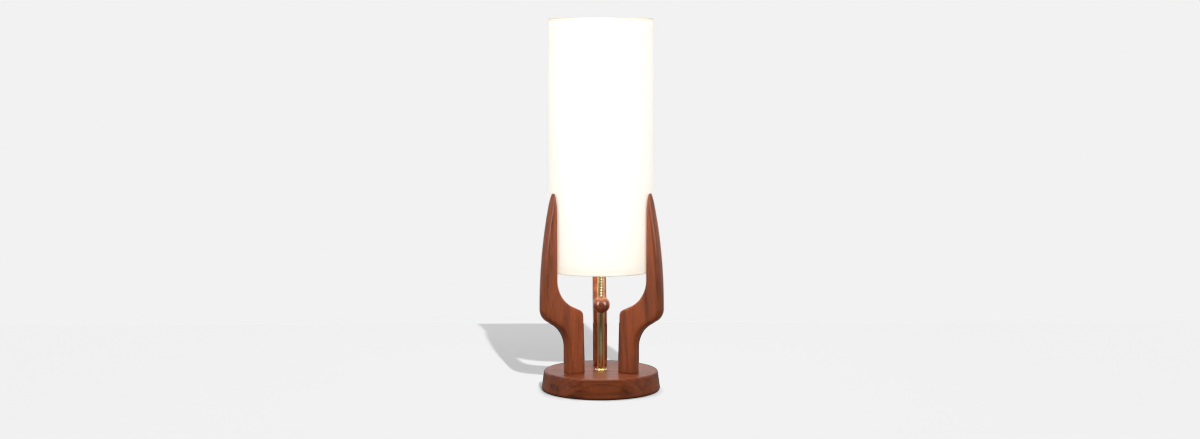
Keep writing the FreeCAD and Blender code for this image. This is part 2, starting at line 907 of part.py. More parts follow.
def make_trim(node, edge, inward):
    """The binding tape folded over one edge of the shade; inward is 1 for the bottom, -1 for the top."""
    face = edge + inward * size.trim_thickness
    inner = frame_radius - size.ring_wire - size.glue_gap - size.trim_thickness
    lip = edge + inward * (size.trim_thickness + size.ring_wire / 3)
    corners = [
        (inner, edge),
        (size.shade_radius, edge),
        (size.shade_radius, edge + inward * size.trim_height),
        (shade_cloth_radius, edge + inward * size.trim_height),
        (shade_cloth_radius, face),
        (inner + size.trim_thickness, face),
        (inner + size.trim_thickness, lip),
        (inner, lip),
    ]
    keep(node, turned_body(f"{node}_tape", corners))


def make_shade():
    """The drum's stiff sheet, its top wire and the bindings at both edges."""
    low = size.shade_low + size.trim_thickness
    high = size.overall_height - size.trim_thickness
    keep("shade", ring_body("shade_sheet", shade_inner, shade_cloth_radius, low, high))
    ring = document.addObject("Part::Torus", "shade_top_wire")
    tie(ring, Radius1=frame_radius, Radius2=size.ring_wire)
    tie_place(ring, z=top_ring_level)
    keep("shade_top_ring", ring)
    make_trim("shade_trim_bottom", size.shade_low, 1)
    make_trim("shade_trim_top", size.overall_height, -1)


# ---------------------------------------------------------------- socket


def side_slot(name):
    """The tool that opens the front of the shell and liner for the switch lever."""
    return block(
        name,
        (-size.slot_width / 2, -size.cap_radius - 2, lever_level - size.slot_height / 2),
        (size.slot_width / 2, -size.cap_radius / 2, lever_level + size.slot_height / 2),
    )


def make_socket_shells():
    """The domed cap on the pipe, the outer shell and the insulating liner."""
    wall = size.cap_wall
    rim_inner = size.cap_radius - wall
    dome_round = size.cap_dome * 1.25
    cap = turned_body(
        "cap_shell",
        [
            (pipe_hole, plate_top),
            (size.neck_radius, plate_top),
            (size.neck_radius, neck_top, dome_round),
            (size.cap_radius, cap_shoulder),
            (size.cap_radius, cap_top),
            (rim_inner, cap_top),
            (rim_inner, cap_shoulder, wall - dome_round),
            (size.neck_radius, neck_top + wall),
            (pipe_hole, neck_top + wall),
        ],
    )
    screw_place = {
        "y": size.pipe_radius + size.glue_gap,
        "z": plate_top + size.neck_height / 2,
        "axis": Vector(0, 1, 0),
    }
    screw_hole = cylinder(
        "set_screw_hole", size.set_screw_radius + size.glue_gap, size.neck_radius, **screw_place
    )
    keep("socket_cap", cut_from("socket_cap", cap, side_slot("cap_slot"), screw_hole))
    screw_length = size.neck_radius + size.set_screw_stand - size.pipe_radius - size.glue_gap
    keep("socket_set_screw", cylinder("set_screw", size.set_screw_radius, screw_length, **screw_place))

    shell_low = cap_shoulder + 0.5
    shell = ring_body("shell_tube", shell_inner, shell_outer, shell_low, shell_low + size.shell_height)
    keep("socket_shell", cut_from("socket_shell", shell, side_slot("shell_slot")))
    liner = ring_body(
        "liner_tube", liner_inner, liner_outer, shell_low, shell_low + size.shell_height - 2
    )
    keep("socket_liner", cut_from("socket_liner", liner, side_slot("liner_slot")))


def make_socket_block():
    """The switch block: slot for the lever and rotor, and a notch and screw hole at each terminal."""
    disc = ring_body("block_disc", 0, block_radius, block_low, block_high)
    slot = block(
        "block_slot",
        (
            -size.slot_width / 2 - 0.4,
            -block_radius - 1,
            lever_level - size.slot_height / 2 - 0.5,
        ),
        (
            size.slot_width / 2 + 0.4,
            size.rotor_radius + 2.5,
            lever_level + size.slot_height / 2 + 0.5,
        ),
    )
    pins = [
        cylinder(
            "block_pin_hole",
            size.lever_pin_radius + size.glue_gap,
            size.lever_pin_length,
            x=-size.lever_pin_length / 2,
            y=-size.lever_pin_place,
            z=lever_level,
            axis=X_AXIS,
        ),
        cylinder(
            "block_axle_hole",
            size.rotor_hub + size.pivot_gap,
            size.rotor_axle_length,
            x=-size.rotor_axle_length / 2,
            z=lever_level - size.rotor_drop,
            axis=X_AXIS,
        ),
    ]
    notches = []
    for index, side in enumerate((1, -1)):
        low = min((side * size.terminal_place, side * (block_radius + 1)), key=lambda s: s.number)
        high = max((side * size.terminal_place, side * (block_radius + 1)), key=lambda s: s.number)
        notches.append(
            block(
                f"block_notch_{index}",
                (-size.notch_width / 2, low, block_low - 1),
                (size.notch_width / 2, high, block_low + size.notch_height),
            )
        )
        notches.append(
            cylinder(
                f"block_terminal_hole_{index}",
                size.terminal_screw_radius + size.glue_gap,
                size.terminal_depth + 0.5,
                y=side * (size.terminal_place - size.terminal_depth - 0.5),
                z=terminal_level,
                axis=Vector(0, side, 0),
            )
        )
    terminals = turn_to(fused("block_terminals", *notches), size.inlet_azimuth)
    keep("socket_block", cut_from("socket_block", disc, slot, *pins, terminals))


def make_terminals():
    """Both terminal screws, as one group."""
    screws = []
    for side in (1, -1):
        out = Vector(0, side, 0)
        head_low = size.terminal_place.number + size.glue_gap.number
        level = Vector(0, 0, terminal_level.number)
        shank = Part.makeCylinder(
            size.terminal_screw_radius.number,
            size.terminal_depth.number + size.glue_gap.number,
            level + out * (size.terminal_place.number - size.terminal_depth.number),
            out,
        )
        head = Part.makeCylinder(
            size.terminal_head_radius.number,
            size.terminal_head.number,
            level + out * head_low,
            out,
        )
        screws.append(shank.fuse(head))
    turn_to(made("terminal_screws", Part.makeCompound(screws)), size.inlet_azimuth)


def make_socket_contacts():
    """The screw shell that takes the bulb, and the centre contact under it."""
    outer = size.contact_ring_radius + size.contact_ring_wall
    floor = block_high + size.contact_ring_wall
    keep(
        "socket_screw_shell",
        turned_body(
            "screw_shell",
            [
                (size.centre_contact_radius + 3, block_high),
                (outer, block_high),
                (outer, block_high + size.contact_ring_height),
                (size.contact_ring_radius, block_high + size.contact_ring_height),
                (size.contact_ring_radius, floor),
                (size.centre_contact_radius + 3, floor),
            ],
        ),
    )
    keep(
        "socket_centre_contact",
        ring_body(
            "centre_contact",
            0,
            size.centre_contact_radius,
            block_high,
            block_high + size.centre_contact_height,
        ),
    )


# ---------------------------------------------------------------- switch


def make_switch():
    """The lever that the chain pulls, its pin, the rotor on its axle, and the guard round the slot."""
    half = size.lever_thickness / 2
    pin_y = -size.lever_pin_place
    boss = cylinder(
        "lever_boss",
        size.lever_boss_radius,
        size.lever_thickness,
        x=-half,
        y=pin_y,
        z=lever_level,
        axis=X_AXIS,
    )
    eye = cylinder(
        "lever_eye",
        size.eye_boss_radius,
        size.lever_thickness,
        x=-half,
        y=-size.eye_place,
        z=eye_level,
        axis=X_AXIS,
    )
    arm = block(
        "lever_arm",
        (-half, -size.eye_place + size.eye_radius + 0.6, lever_level - size.lever_arm_height / 2),
        (half, pin_y + size.lever_tail, lever_level + size.lever_arm_height / 2),
    )
    pin_hole = cylinder(
        "lever_pin_hole",
        size.lever_pin_radius + size.pivot_gap,
        size.lever_thickness + 2,
        x=-half - 1,
        y=pin_y,
        z=lever_level,
        axis=X_AXIS,
    )
    eye_hole = cylinder(
        "lever_eye_hole",
        size.eye_radius,
        size.lever_thickness + 2,
        x=-half - 1,
        y=-size.eye_place,
        z=eye_level,
        axis=X_AXIS,
    )
    solid = fused("lever_solid", boss, eye, arm)
    keep("switch_lever", cut_from("switch_lever", solid, pin_hole, eye_hole))

    pin = cylinder(
        "lever_pin",
        size.lever_pin_radius,
        size.lever_pin_length - 1,
        x=-(size.lever_pin_length - 1) / 2,
        y=pin_y,
        z=lever_level,
        axis=X_AXIS,
    )
    keep("switch_lever_pin", pin)

    wheel = cylinder(
        "rotor_wheel",
        size.rotor_radius,
        size.lever_thickness,
        x=-half,
        z=lever_level - size.rotor_drop,
        axis=X_AXIS,
    )
    axle = cylinder(
        "rotor_axle",
        size.rotor_hub,
        size.rotor_axle_length - 1,
        x=-(size.rotor_axle_length - 1) / 2,
        z=lever_level - size.rotor_drop,
        axis=X_AXIS,
    )
    notch = block(
        "rotor_notch",
        (-half - 1, -0.6, lever_level - size.rotor_drop + size.rotor_hub + 0.8),
        (half + 1, 0.6, lever_level + size.rotor_radius),
    )
    keep("switch_rotor", cut_from("switch_rotor", fused("rotor_solid", wheel, axle), notch))

    low = (-size.guard_width / 2, -shell_outer - size.guard_reach, lever_level - size.guard_height / 2)
    high = (size.guard_width / 2, -shell_outer - size.thread_gap, lever_level + size.guard_height / 2)
    wall = size.guard_wall
    outside = block("guard_outside", low, (high[0], high[1] + 1, high[2]))
    inside = block(
        "guard_inside",
        (low[0] + wall, low[1] - 1, low[2] + wall),
        (high[0] - wall, high[1] + 2, high[2] - wall),
    )
    clear_cap = cylinder(
        "guard_cap_clearance", size.cap_radius + size.glue_gap, size.shell_height, z=cap_shoulder
    )
    keep("switch_guard", cut_from("switch_guard", outside, inside, clear_cap))


# ---------------------------------------------------------------- pull chain


def beads(first, count, stub_up=0.0, stub_down=0.0):
    """A run of beads on their wire links, hanging down from the first bead's level."""
    radius = size.bead_radius.number
    pitch = size.bead_pitch.number
    hang = Vector(0, -size.eye_place.number, 0)
    balls = [
        Part.makeSphere(radius, hang + Vector(0, 0, first - index * pitch)) for index in range(count)
    ]
    low = first - (count - 1) * pitch - stub_down
    link = Part.makeCylinder(
        size.bead_link.number, first + stub_up - low, hang + Vector(0, 0, low)
    )
    return link.fuse(balls)


def make_chain():
    """The ring in the lever's eye, both runs of bead chain, the coupling between them and the ball."""
    ring = document.addObject("Part::Torus", "chain_ring_wire_loop")
    ring.Placement = Placement(Vector(), Rotation(X_AXIS, 90))
    tie(ring, Radius1=size.chain_ring_radius, Radius2=size.chain_ring_wire)
    tie_place(ring, y=-size.eye_place, z=eye_level - size.chain_ring_radius)
    keep("chain_ring", ring)

    hang = Vector(0, -size.eye_place.number, 0)
    loop_radius = size.chain_loop_radius.number
    loop_level = loop_top.number - loop_radius
    loop = Part.makeTorus(
        loop_radius, size.chain_loop_wire.number, hang + Vector(0, 0, loop_level), X_AXIS
    )
    upper = beads(
        upper_first.number,
        int(size.upper_beads.number),
        stub_up=size.bead_radius.number + 0.3,
    )
    made("chain_upper", upper.fuse(loop))

    socket_inner = size.bead_radius.number + size.ring_gap.number
    socket_outer = socket_inner + size.coupling_wall.number
    lip = size.bead_radius.number * COUPLING_LIP_SHARE
    coupling_low = lower_first.number - lip
    coupling_high = upper_last.number + lip
    tube = Part.makeCylinder(
        socket_outer, coupling_high - coupling_low, hang + Vector(0, 0, coupling_low)
    )
    bore = Part.makeCylinder(
        socket_inner, coupling_high - coupling_low + 2, hang + Vector(0, 0, coupling_low - 1)
    )
    made("chain_coupling", tube.cut(bore))

    count = int(size.lower_beads.number)
    made("chain_lower", beads(lower_first.number, count))

    centre = hang + Vector(0, 0, size.ball_centre.number)
    ball = Part.makeSphere(size.ball_radius.number, centre)
    bore_low = lower_last.number - size.bead_radius.number
    bore_depth = size.ball_centre.number + size.ball_radius.number - bore_low
    hole = Part.makeCylinder(size.ball_bore.number, bore_depth + 1, hang + Vector(0, 0, bore_low))
    made("pull_ball", ball.cut(hole))


# ---------------------------------------------------------------- bulb


def make_bulb():
    """The bulb: screw cap, insulator and tip, glass, and the mount and filaments inside it."""
    cap_outer = size.contact_ring_radius - size.pivot_gap
    cap_inner = cap_outer - size.bulb_cap_wall
    keep("bulb_cap", ring_body("bulb_cap_tube", cap_inner, cap_outer, bulb_cap_low, bulb_cap_top))
    insulator_low = bulb_tip + size.bulb_tip_height
    keep(
        "bulb_insulator",
        turned_body(
            "insulator",
            [
                (0, insulator_low),
                (size.bulb_tip_radius, insulator_low),
                (cap_outer, bulb_cap_low),
                (0, bulb_cap_low),
            ],
        ),
    )
    keep("bulb_tip", ring_body("bulb_tip_disc", 0, size.bulb_tip_radius, bulb_tip, insulator_low))

    neck_low = bulb_cap_top - 6
    inner_radius = size.bulb_radius - size.bulb_wall
    inner_neck = size.bulb_neck - size.bulb_wall
    join = size.bulb_radius * ROOT_HALF
    join_level = bulb_centre - join
    throat = join_level - (join - size.bulb_neck) / QUARTER_TAN
    throat_round = (join - size.bulb_neck) / (ROOT_HALF * QUARTER_TAN)
    inner_join = inner_radius * ROOT_HALF
    keep(
        "bulb_glass",
        turned_body(
            "glass",
            [
                (inner_neck, neck_low),
                (size.bulb_neck, neck_low),
                (size.bulb_neck, throat, -throat_round),
                (join, join_level, size.bulb_radius),
                (0, bulb_centre + size.bulb_radius),
                (0, bulb_centre + inner_radius, -inner_radius),
                (inner_join, bulb_centre - inner_join, throat_round + size.bulb_wall),
                (inner_neck, throat),
            ],
        ),
    )
    mount_low = bulb_cap_top - 5
    keep(
        "bulb_mount",
        turned_body(
            "mount",
            [
                (0, mount_low),
                (inner_neck - size.glue_gap, mount_low),
                (size.mount_radius, mount_low + size.mount_height / 3),
                (size.mount_radius / 2, mount_low + size.mount_height),
                (0, mount_low + size.mount_height),
            ],
        ),
    )
    spread = size.filament_spread.number
    low = (mount_low + size.mount_height).number - size.filament_length.number / 2
    rods = []
    for index in range(4):
        angle = math.pi / 2 * index
        place = Vector(spread * math.cos(angle), spread * math.sin(angle), low)
        rods.append(Part.makeCylinder(size.filament_radius.number, size.filament_length.number, place))
    made("bulb_filaments", Part.makeCompound(rods))


# ---------------------------------------------------------------- whole lamp


def check_and_write():
    """Stops on any failed object or bad shape, then writes one file per sub-part."""
    document.recompute()
    failed = [thing.Name for thing in document.Objects if {"Invalid", "Error"} & set(thing.State)]
    if failed:
        raise ValueError(f"failed objects: {failed}")
    for node, thing in parts.items():
        if thing.Shape.isNull() or not thing.Shape.isValid() or thing.Shape.Volume <= 0:
            raise ValueError(f"{node} has no valid shape")
    os.makedirs("parts", exist_ok=True)
    for node, thing in parts.items():
        thing.Shape.exportStep(f"parts/{node}.step")
    print(f"{len(parts)} sub-parts written")


make_base()
make_felt()
make_bushing()
for leg_node, leg_azimuth in leg_azimuths.items():
    make_leg(leg_node, leg_azimuth)
make_leg_fasteners()
make_pipe()
make_leads()
make_fitter()
make_shade()
make_socket_shells()
make_socket_block()
make_terminals()
make_socket_contacts()
make_switch()
make_chain()
make_bulb()
check_and_write()
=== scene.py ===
import math

import bmesh
import bpy
import numpy as np
from mathutils import Matrix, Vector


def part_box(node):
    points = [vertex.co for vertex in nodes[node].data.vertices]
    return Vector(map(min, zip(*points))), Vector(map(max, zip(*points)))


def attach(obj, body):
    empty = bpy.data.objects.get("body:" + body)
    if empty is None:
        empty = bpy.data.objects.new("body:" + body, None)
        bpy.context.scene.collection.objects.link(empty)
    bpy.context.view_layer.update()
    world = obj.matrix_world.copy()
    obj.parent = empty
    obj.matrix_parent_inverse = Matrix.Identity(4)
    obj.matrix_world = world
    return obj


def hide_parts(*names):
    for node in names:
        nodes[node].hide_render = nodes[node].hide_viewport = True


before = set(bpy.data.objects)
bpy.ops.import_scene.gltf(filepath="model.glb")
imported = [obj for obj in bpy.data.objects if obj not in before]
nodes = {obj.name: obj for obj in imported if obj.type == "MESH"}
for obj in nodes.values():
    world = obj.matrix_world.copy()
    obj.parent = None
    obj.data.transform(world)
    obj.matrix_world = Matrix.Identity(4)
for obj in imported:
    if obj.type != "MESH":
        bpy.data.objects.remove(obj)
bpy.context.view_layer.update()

MM = 0.001
INCH = 25.4 * MM

# ---------------------------------------------------------------- sizes of the lamp, in metres

LAMP_TOP = 21.75 * INCH
BASE_LOW_RADIUS = 88.7 * MM
BASE_TOP_RADIUS = 84.6 * MM
BASE_HEIGHT = 30.1 * MM
FELT = 1.2 * MM
INLET_AZIMUTH = 60.0
INLET_LEVEL = 9.6 * MM
LEG_WIDTH = 20.4 * MM
LEG_AZIMUTHS = {"leg_rear": 90.0, "leg_left": 210.0, "leg_right": 330.0}
SHADE_RADIUS = 77.5 * MM
SHADE_LOW = 179.9 * MM
TRIM_THICKNESS = 0.35 * MM
TRIM_HEIGHT = 4.0 * MM
SHADE_WALL = 0.9 * MM
CHAIN_PLACE = -23.5 * MM
BEAD_RADIUS = 1.6 * MM
BEAD_PITCH = 3.98 * MM
BEADS = 13
SEAM_LAP = 9 * MM
GLOW_FADE = 85 * MM
CREASE = math.radians(32)
SHARP_EDGE = math.radians(40)


# ---------------------------------------------------------------- surfaces from grids and profiles


def mesh_piece(name, points, faces):
    """A smooth-shaded mesh object from arrays of points and faces."""
    mesh = bpy.data.meshes.new(name)
    mesh.from_pydata(points.tolist(), [], [list(map(int, face)) for face in faces])
    mesh.polygons.foreach_set("use_smooth", np.ones(len(mesh.polygons), bool))
    mesh.validate()
    piece = bpy.data.objects.new(name, mesh)
    bpy.context.scene.collection.objects.link(piece)
    return piece


def grid_faces(rows, columns, wrap_rows=False, wrap_columns=True):
    """Quads over a grid of points stored row by row, with either direction closed on itself."""
    row = np.arange(rows if wrap_rows else rows - 1)
    column = np.arange(columns if wrap_columns else columns - 1)
    i, j = (a.ravel() for a in np.meshgrid(row, column, indexing="ij"))
    ahead, beside = (i + 1) % rows, (j + 1) % columns
    return np.stack(
        [i * columns + j, i * columns + beside, ahead * columns + beside, ahead * columns + j], axis=1
    )


def tidy(piece):
    """Merges doubles and turns every face outwards."""
    merge = 1e-6
    shape = bmesh.new()
    shape.from_mesh(piece.data)
    bmesh.ops.remove_doubles(shape, verts=shape.verts, dist=merge)
    bmesh.ops.dissolve_degenerate(shape, edges=shape.edges, dist=merge / 10)
    bmesh.ops.recalc_face_normals(shape, faces=shape.faces)
    shape.to_mesh(piece.data)
    shape.free()
    return piece


def turned(name, profile, around=128, centre=(0.0, 0.0)):
    """Surface of revolution: each profile point (radius, height) is carried round Z through
    x = radius cos(angle), y = radius sin(angle). The profile is closed on itself."""
    profile = np.asarray(profile, float)
    angle = np.linspace(0, 2 * np.pi, around, endpoint=False)
    radius, height = profile[:, :1], profile[:, 1:]
    x = radius * np.cos(angle) + centre[0]
    y = radius * np.sin(angle) + centre[1]
    z = np.broadcast_to(height, x.shape)
    points = np.stack([x, y, z], axis=-1).reshape(-1, 3)
    return tidy(mesh_piece(name, points, grid_faces(len(profile), around, wrap_rows=True)))


def arc(start, end, radius, count=12):
    """Points of the minor arc from start to end, without the last; it turns left for a radius above 0."""
    start, end = np.asarray(start, float), np.asarray(end, float)
    chord = end - start
    length = np.hypot(*chord)
    left = np.array([-chord[1], chord[0]]) / length
    rise = math.sqrt(max(radius * radius - length * length / 4, 0.0))
    centre = (start + end) / 2 + left * math.copysign(rise, radius)
    first = math.atan2(*(start - centre)[::-1])
    sweep = 2 * math.asin(min(1.0, length / (2 * abs(radius)))) * math.copysign(1, radius)
    angle = first + sweep * np.linspace(0, 1, count, endpoint=False)
    return centre + abs(radius) * np.stack([np.cos(angle), np.sin(angle)], axis=1)


def line(start, end, count=2):
    """Evenly spaced points from start to end, without the last."""
    share = np.linspace(0, 1, count, endpoint=False)[:, None]
    return np.asarray(start, float) * (1 - share) + np.asarray(end, float) * share


def rounded_section(corners, radii, count=8):
    """A closed profile through corners, each rounded by its own radius: the round starts and ends
    radius / tan(half the corner's angle) from the corner and follows the tangent circle."""
    corners = np.asarray(corners, float)
    runs = []
    for index, (corner, radius) in enumerate(zip(corners, radii)):
        if radius == 0:
            runs.append(corner[None])
            continue
        back = corners[index - 1] - corner
        ahead = corners[(index + 1) % len(corners)] - corner
        back, ahead = back / np.hypot(*back), ahead / np.hypot(*ahead)
        half = math.acos(np.clip(back @ ahead, -1, 1)) / 2
        reach = radius / math.tan(half)
        turn = math.copysign(1, -(back[0] * ahead[1] - back[1] * ahead[0]))
        first, last = corner + back * reach, corner + ahead * reach
        runs += [arc(first, last, turn * radius, count), last[None]]
    return np.concatenate(runs)


# ---------------------------------------------------------------- material helpers


def new_material(name):
    """An empty node material with its Principled shader and output."""
    material = bpy.data.materials.new(name)
    material.use_nodes = True
    material.node_tree.nodes.clear()
    tree = material.node_tree
    shader = tree.nodes.new("ShaderNodeBsdfPrincipled")
    output = tree.nodes.new("ShaderNodeOutputMaterial")
    tree.links.new(shader.outputs["BSDF"], output.inputs["Surface"])
    return material, tree, shader


def feed(tree, socket, value):
    """Links a socket to another one, or gives it a plain value."""
    if isinstance(value, bpy.types.NodeSocket):
        tree.links.new(value, socket)
    else:
        socket.default_value = value


def add(tree, kind, inputs=None, **settings):
    """Adds a node with its settings and its inputs, each a value or another node's socket."""
    node = tree.nodes.new(kind)
    for name, value in settings.items():
        setattr(node, name, value)
    for name, value in (inputs or {}).items():
        feed(tree, node.inputs[name], value)
    return node


def new_group(name, inputs, outputs):
    """A shader node group with named sockets; inputs are (name, type, default)."""
    group = bpy.data.node_groups.new(name, "ShaderNodeTree")
    for label, kind, value in inputs:
        socket = group.interface.new_socket(label, in_out="INPUT", socket_type=kind)
        socket.default_value = value
    for label, kind in outputs:
        group.interface.new_socket(label, in_out="OUTPUT", socket_type=kind)
    return group, group.nodes.new("NodeGroupInput"), group.nodes.new("NodeGroupOutput")


def use_group(tree, group, values):
    """Places a node group in a material with its own values."""
    return add(tree, "ShaderNodeGroup", values, node_tree=group)


def object_place(tree, turn=(0, 0, 0), shift=(0, 0, 0)):
    """Object coordinates, shifted and turned so that a pattern lies along a piece."""
    place = {
        "Vector": tree.nodes.new("ShaderNodeTexCoord").outputs["Object"],
        "Rotation": tuple(math.radians(a) for a in turn),
        "Location": shift,
    }
    return add(tree, "ShaderNodeMapping", place).outputs["Vector"]


def math_node(tree, operation, first, second=0.0, clamp=False):
    """One arithmetic step on two values."""
    node = add(tree, "ShaderNodeMath", operation=operation, use_clamp=clamp)
    for socket, value in zip(node.inputs, (first, second)):
        feed(tree, socket, value)
    return node.outputs[0]


def mix_colour(tree, factor, first, second):
    """Two colours mixed by a factor."""
    node = add(tree, "ShaderNodeMix", data_type="RGBA")
    for index, value in ((0, factor), (6, first), (7, second)):
        feed(tree, node.inputs[index], value)
    return node.outputs[2]


def map_range(tree, value, low, high, **settings):
    """A value carried from the range low to high onto 0 to 1."""
    given = {"Value": value, "From Min": low, "From Max": high}
    return add(tree, "ShaderNodeMapRange", given, **settings).outputs["Result"]


def noise(tree, vector, scale, detail=3.0, roughness=0.5):
    """The value of a noise texture."""
    given = {"Vector": vector, "Scale": scale, "Detail": detail, "Roughness": roughness}
    return add(tree, "ShaderNodeTexNoise", given).outputs["Fac"]


def bump(tree, shader, height, strength, distance):
    """Feeds a height to the shader's normal."""
    given = {"Height": height, "Strength": strength, "Distance": distance}
    tree.links.new(add(tree, "ShaderNodeBump", given).outputs["Normal"], shader.inputs["Normal"])


def tinted(colour, tint):
    """A colour times a tint, with its alpha."""
    return (*(a * b for a, b in zip(colour, tint)), 1)


# ---------------------------------------------------------------- shared effects


def make_grain_group():
    """Walnut grain along Z: growth rings are a sawtooth of the distance from the tree's far centre, bent
    by a slow noise; pores are short dark dashes, noise stretched 22 times along the grain; and broad
    streaks darken whole bands. Puts out the colour, the roughness and the height of the open pores."""
    tree, given, result = new_group(
        "walnut_grain",
        [
            ("Vector", "NodeSocketVector", (0, 0, 0)),
            ("Light", "NodeSocketColor", (0.33, 0.10, 0.04, 1)),
            ("Dark", "NodeSocketColor", (0.12, 0.032, 0.013, 1)),
            ("Rings", "NodeSocketFloat", 260.0),
            ("Figure", "NodeSocketFloat", 0.012),
            ("Streaks", "NodeSocketFloat", 0.5),
        ],
        [
            ("Color", "NodeSocketColor"),
            ("Roughness", "NodeSocketFloat"),
            ("Height", "NodeSocketFloat"),
        ],
    )
    vector = given.outputs["Vector"]

    def stretched(along):
        scaled_way = add(tree, "ShaderNodeMapping", {"Vector": vector, "Scale": (1, 1, 1 / along)})
        return scaled_way.outputs["Vector"]

    bend = add(
        tree,
        "ShaderNodeTexNoise",
        {"Vector": stretched(4.5), "Scale": 26.0, "Detail": 2.0, "Roughness": 0.45},
    )
    offset = add(
        tree,
        "ShaderNodeVectorMath",
        {0: bend.outputs["Color"], 1: (0.5, 0.5, 0.5)},
        operation="SUBTRACT",
    )
    scaled = add(tree, "ShaderNodeVectorMath", {0: offset.outputs[0]}, operation="SCALE")
    tree.links.new(given.outputs["Figure"], scaled.inputs["Scale"])
    bent = add(tree, "ShaderNodeVectorMath", {0: vector, 1: scaled.outputs[0]}, operation="ADD")
    parts = add(tree, "ShaderNodeSeparateXYZ", {"Vector": bent.outputs[0]})
    distance = math_node(
        tree,
        "SQRT",
        math_node(
            tree,
            "ADD",
            math_node(tree, "MULTIPLY", parts.outputs["X"], parts.outputs["X"]),
            math_node(tree, "MULTIPLY", parts.outputs["Y"], parts.outputs["Y"]),
        ),
    )
    turns = math_node(tree, "MULTIPLY", distance, given.outputs["Rings"])
    ring = math_node(tree, "FRACT", turns)
    late_wood = math_node(tree, "POWER", ring, 2.6)
    ring_index = math_node(tree, "FLOOR", turns)
    each_ring = add(tree, "ShaderNodeTexWhiteNoise", {"W": ring_index}, noise_dimensions="1D")
    late_wood = math_node(
        tree, "MULTIPLY", late_wood, math_node(tree, "ADD", each_ring.outputs["Value"], 0.25)
    )

    streak = noise(tree, stretched(14.0), 95.0, 3.0, 0.55)
    broad = noise(tree, stretched(6.0), 30.0, 2.0, 0.5)
    fibre = noise(tree, stretched(60.0), 900.0, 2.0, 0.6)
    pores = noise(tree, stretched(22.0), 1500.0, 1.0, 0.5)
    pore_mask = map_range(tree, pores, 0.60, 0.70)
    broad_mask = map_range(tree, broad, 0.40, 0.72)
    streak_mask = map_range(tree, streak, 0.45, 0.75)

    amount = math_node(tree, "MULTIPLY", late_wood, 0.26)
    streak_amount = math_node(tree, "MULTIPLY", streak_mask, given.outputs["Streaks"])
    amount = math_node(tree, "ADD", amount, streak_amount)
    amount = math_node(tree, "ADD", amount, math_node(tree, "MULTIPLY", broad_mask, 0.30))
    fibre_amount = math_node(tree, "MULTIPLY", math_node(tree, "SUBTRACT", fibre, 0.5), 0.5)
    amount = math_node(tree, "ADD", amount, fibre_amount, True)
    colour = mix_colour(tree, amount, given.outputs["Light"], given.outputs["Dark"])
    colour = mix_colour(
        tree, math_node(tree, "MULTIPLY", pore_mask, 0.45), colour, (0.05, 0.014, 0.007, 1)
    )
    tree.links.new(colour, result.inputs["Color"])
    rough = math_node(
        tree, "ADD", 0.34, math_node(tree, "MULTIPLY", math_node(tree, "ADD", pore_mask, fibre), 0.10)
    )
    tree.links.new(rough, result.inputs["Roughness"])
    height = math_node(
        tree,
        "SUBTRACT",
        math_node(tree, "MULTIPLY", fibre, 0.25),
        math_node(tree, "MULTIPLY", pore_mask, 0.6),
    )
    tree.links.new(height, result.inputs["Height"])
    return tree


def make_wear_group():
    """Handled metal: slow clouds of tarnish, fine lengthwise scratches and small specks. Puts out the
    colour, the roughness and a height."""
    tree, given, result = new_group(
        "handled_metal",
        [
            ("Vector", "NodeSocketVector", (0, 0, 0)),
            ("Bright", "NodeSocketColor", (0.75, 0.62, 0.36, 1)),
            ("Tarnish", "NodeSocketColor", (0.40, 0.28, 0.13, 1)),
            ("Amount", "NodeSocketFloat", 0.35),
            ("Base Roughness", "NodeSocketFloat", 0.2),
            ("Scratch Scale", "NodeSocketFloat", 2500.0),
        ],
        [
            ("Color", "NodeSocketColor"),
            ("Roughness", "NodeSocketFloat"),
            ("Height", "NodeSocketFloat"),
        ],
    )
    vector = given.outputs["Vector"]
    cloud = noise(tree, vector, 160.0, 4.0, 0.6)
    long_way = add(tree, "ShaderNodeMapping", {"Vector": vector, "Scale": (1, 1, 0.03)}).outputs["Vector"]
    scratch = add(
        tree, "ShaderNodeTexNoise", {"Vector": long_way, "Detail": 2.0, "Roughness": 0.7}
    )
    tree.links.new(given.outputs["Scratch Scale"], scratch.inputs["Scale"])
    speck = noise(tree, vector, 2200.0, 1.0, 0.5)
    speck_mask = map_range(tree, speck, 0.68, 0.76)
    cloud_mask = map_range(tree, cloud, 0.42, 0.72)
    amount = math_node(tree, "MULTIPLY", cloud_mask, given.outputs["Amount"])
    amount = math_node(tree, "ADD", amount, math_node(tree, "MULTIPLY", speck_mask, 0.35), True)
    colour = mix_colour(tree, amount, given.outputs["Bright"], given.outputs["Tarnish"])
    tree.links.new(colour, result.inputs["Color"])
    rough = math_node(
        tree,
        "ADD",
        given.outputs["Base Roughness"],
        math_node(tree, "MULTIPLY", math_node(tree, "ADD", amount, scratch.outputs["Fac"]), 0.10),
    )
    tree.links.new(rough, result.inputs["Roughness"])
    tree.links.new(scratch.outputs["Fac"], result.inputs["Height"])
    return tree


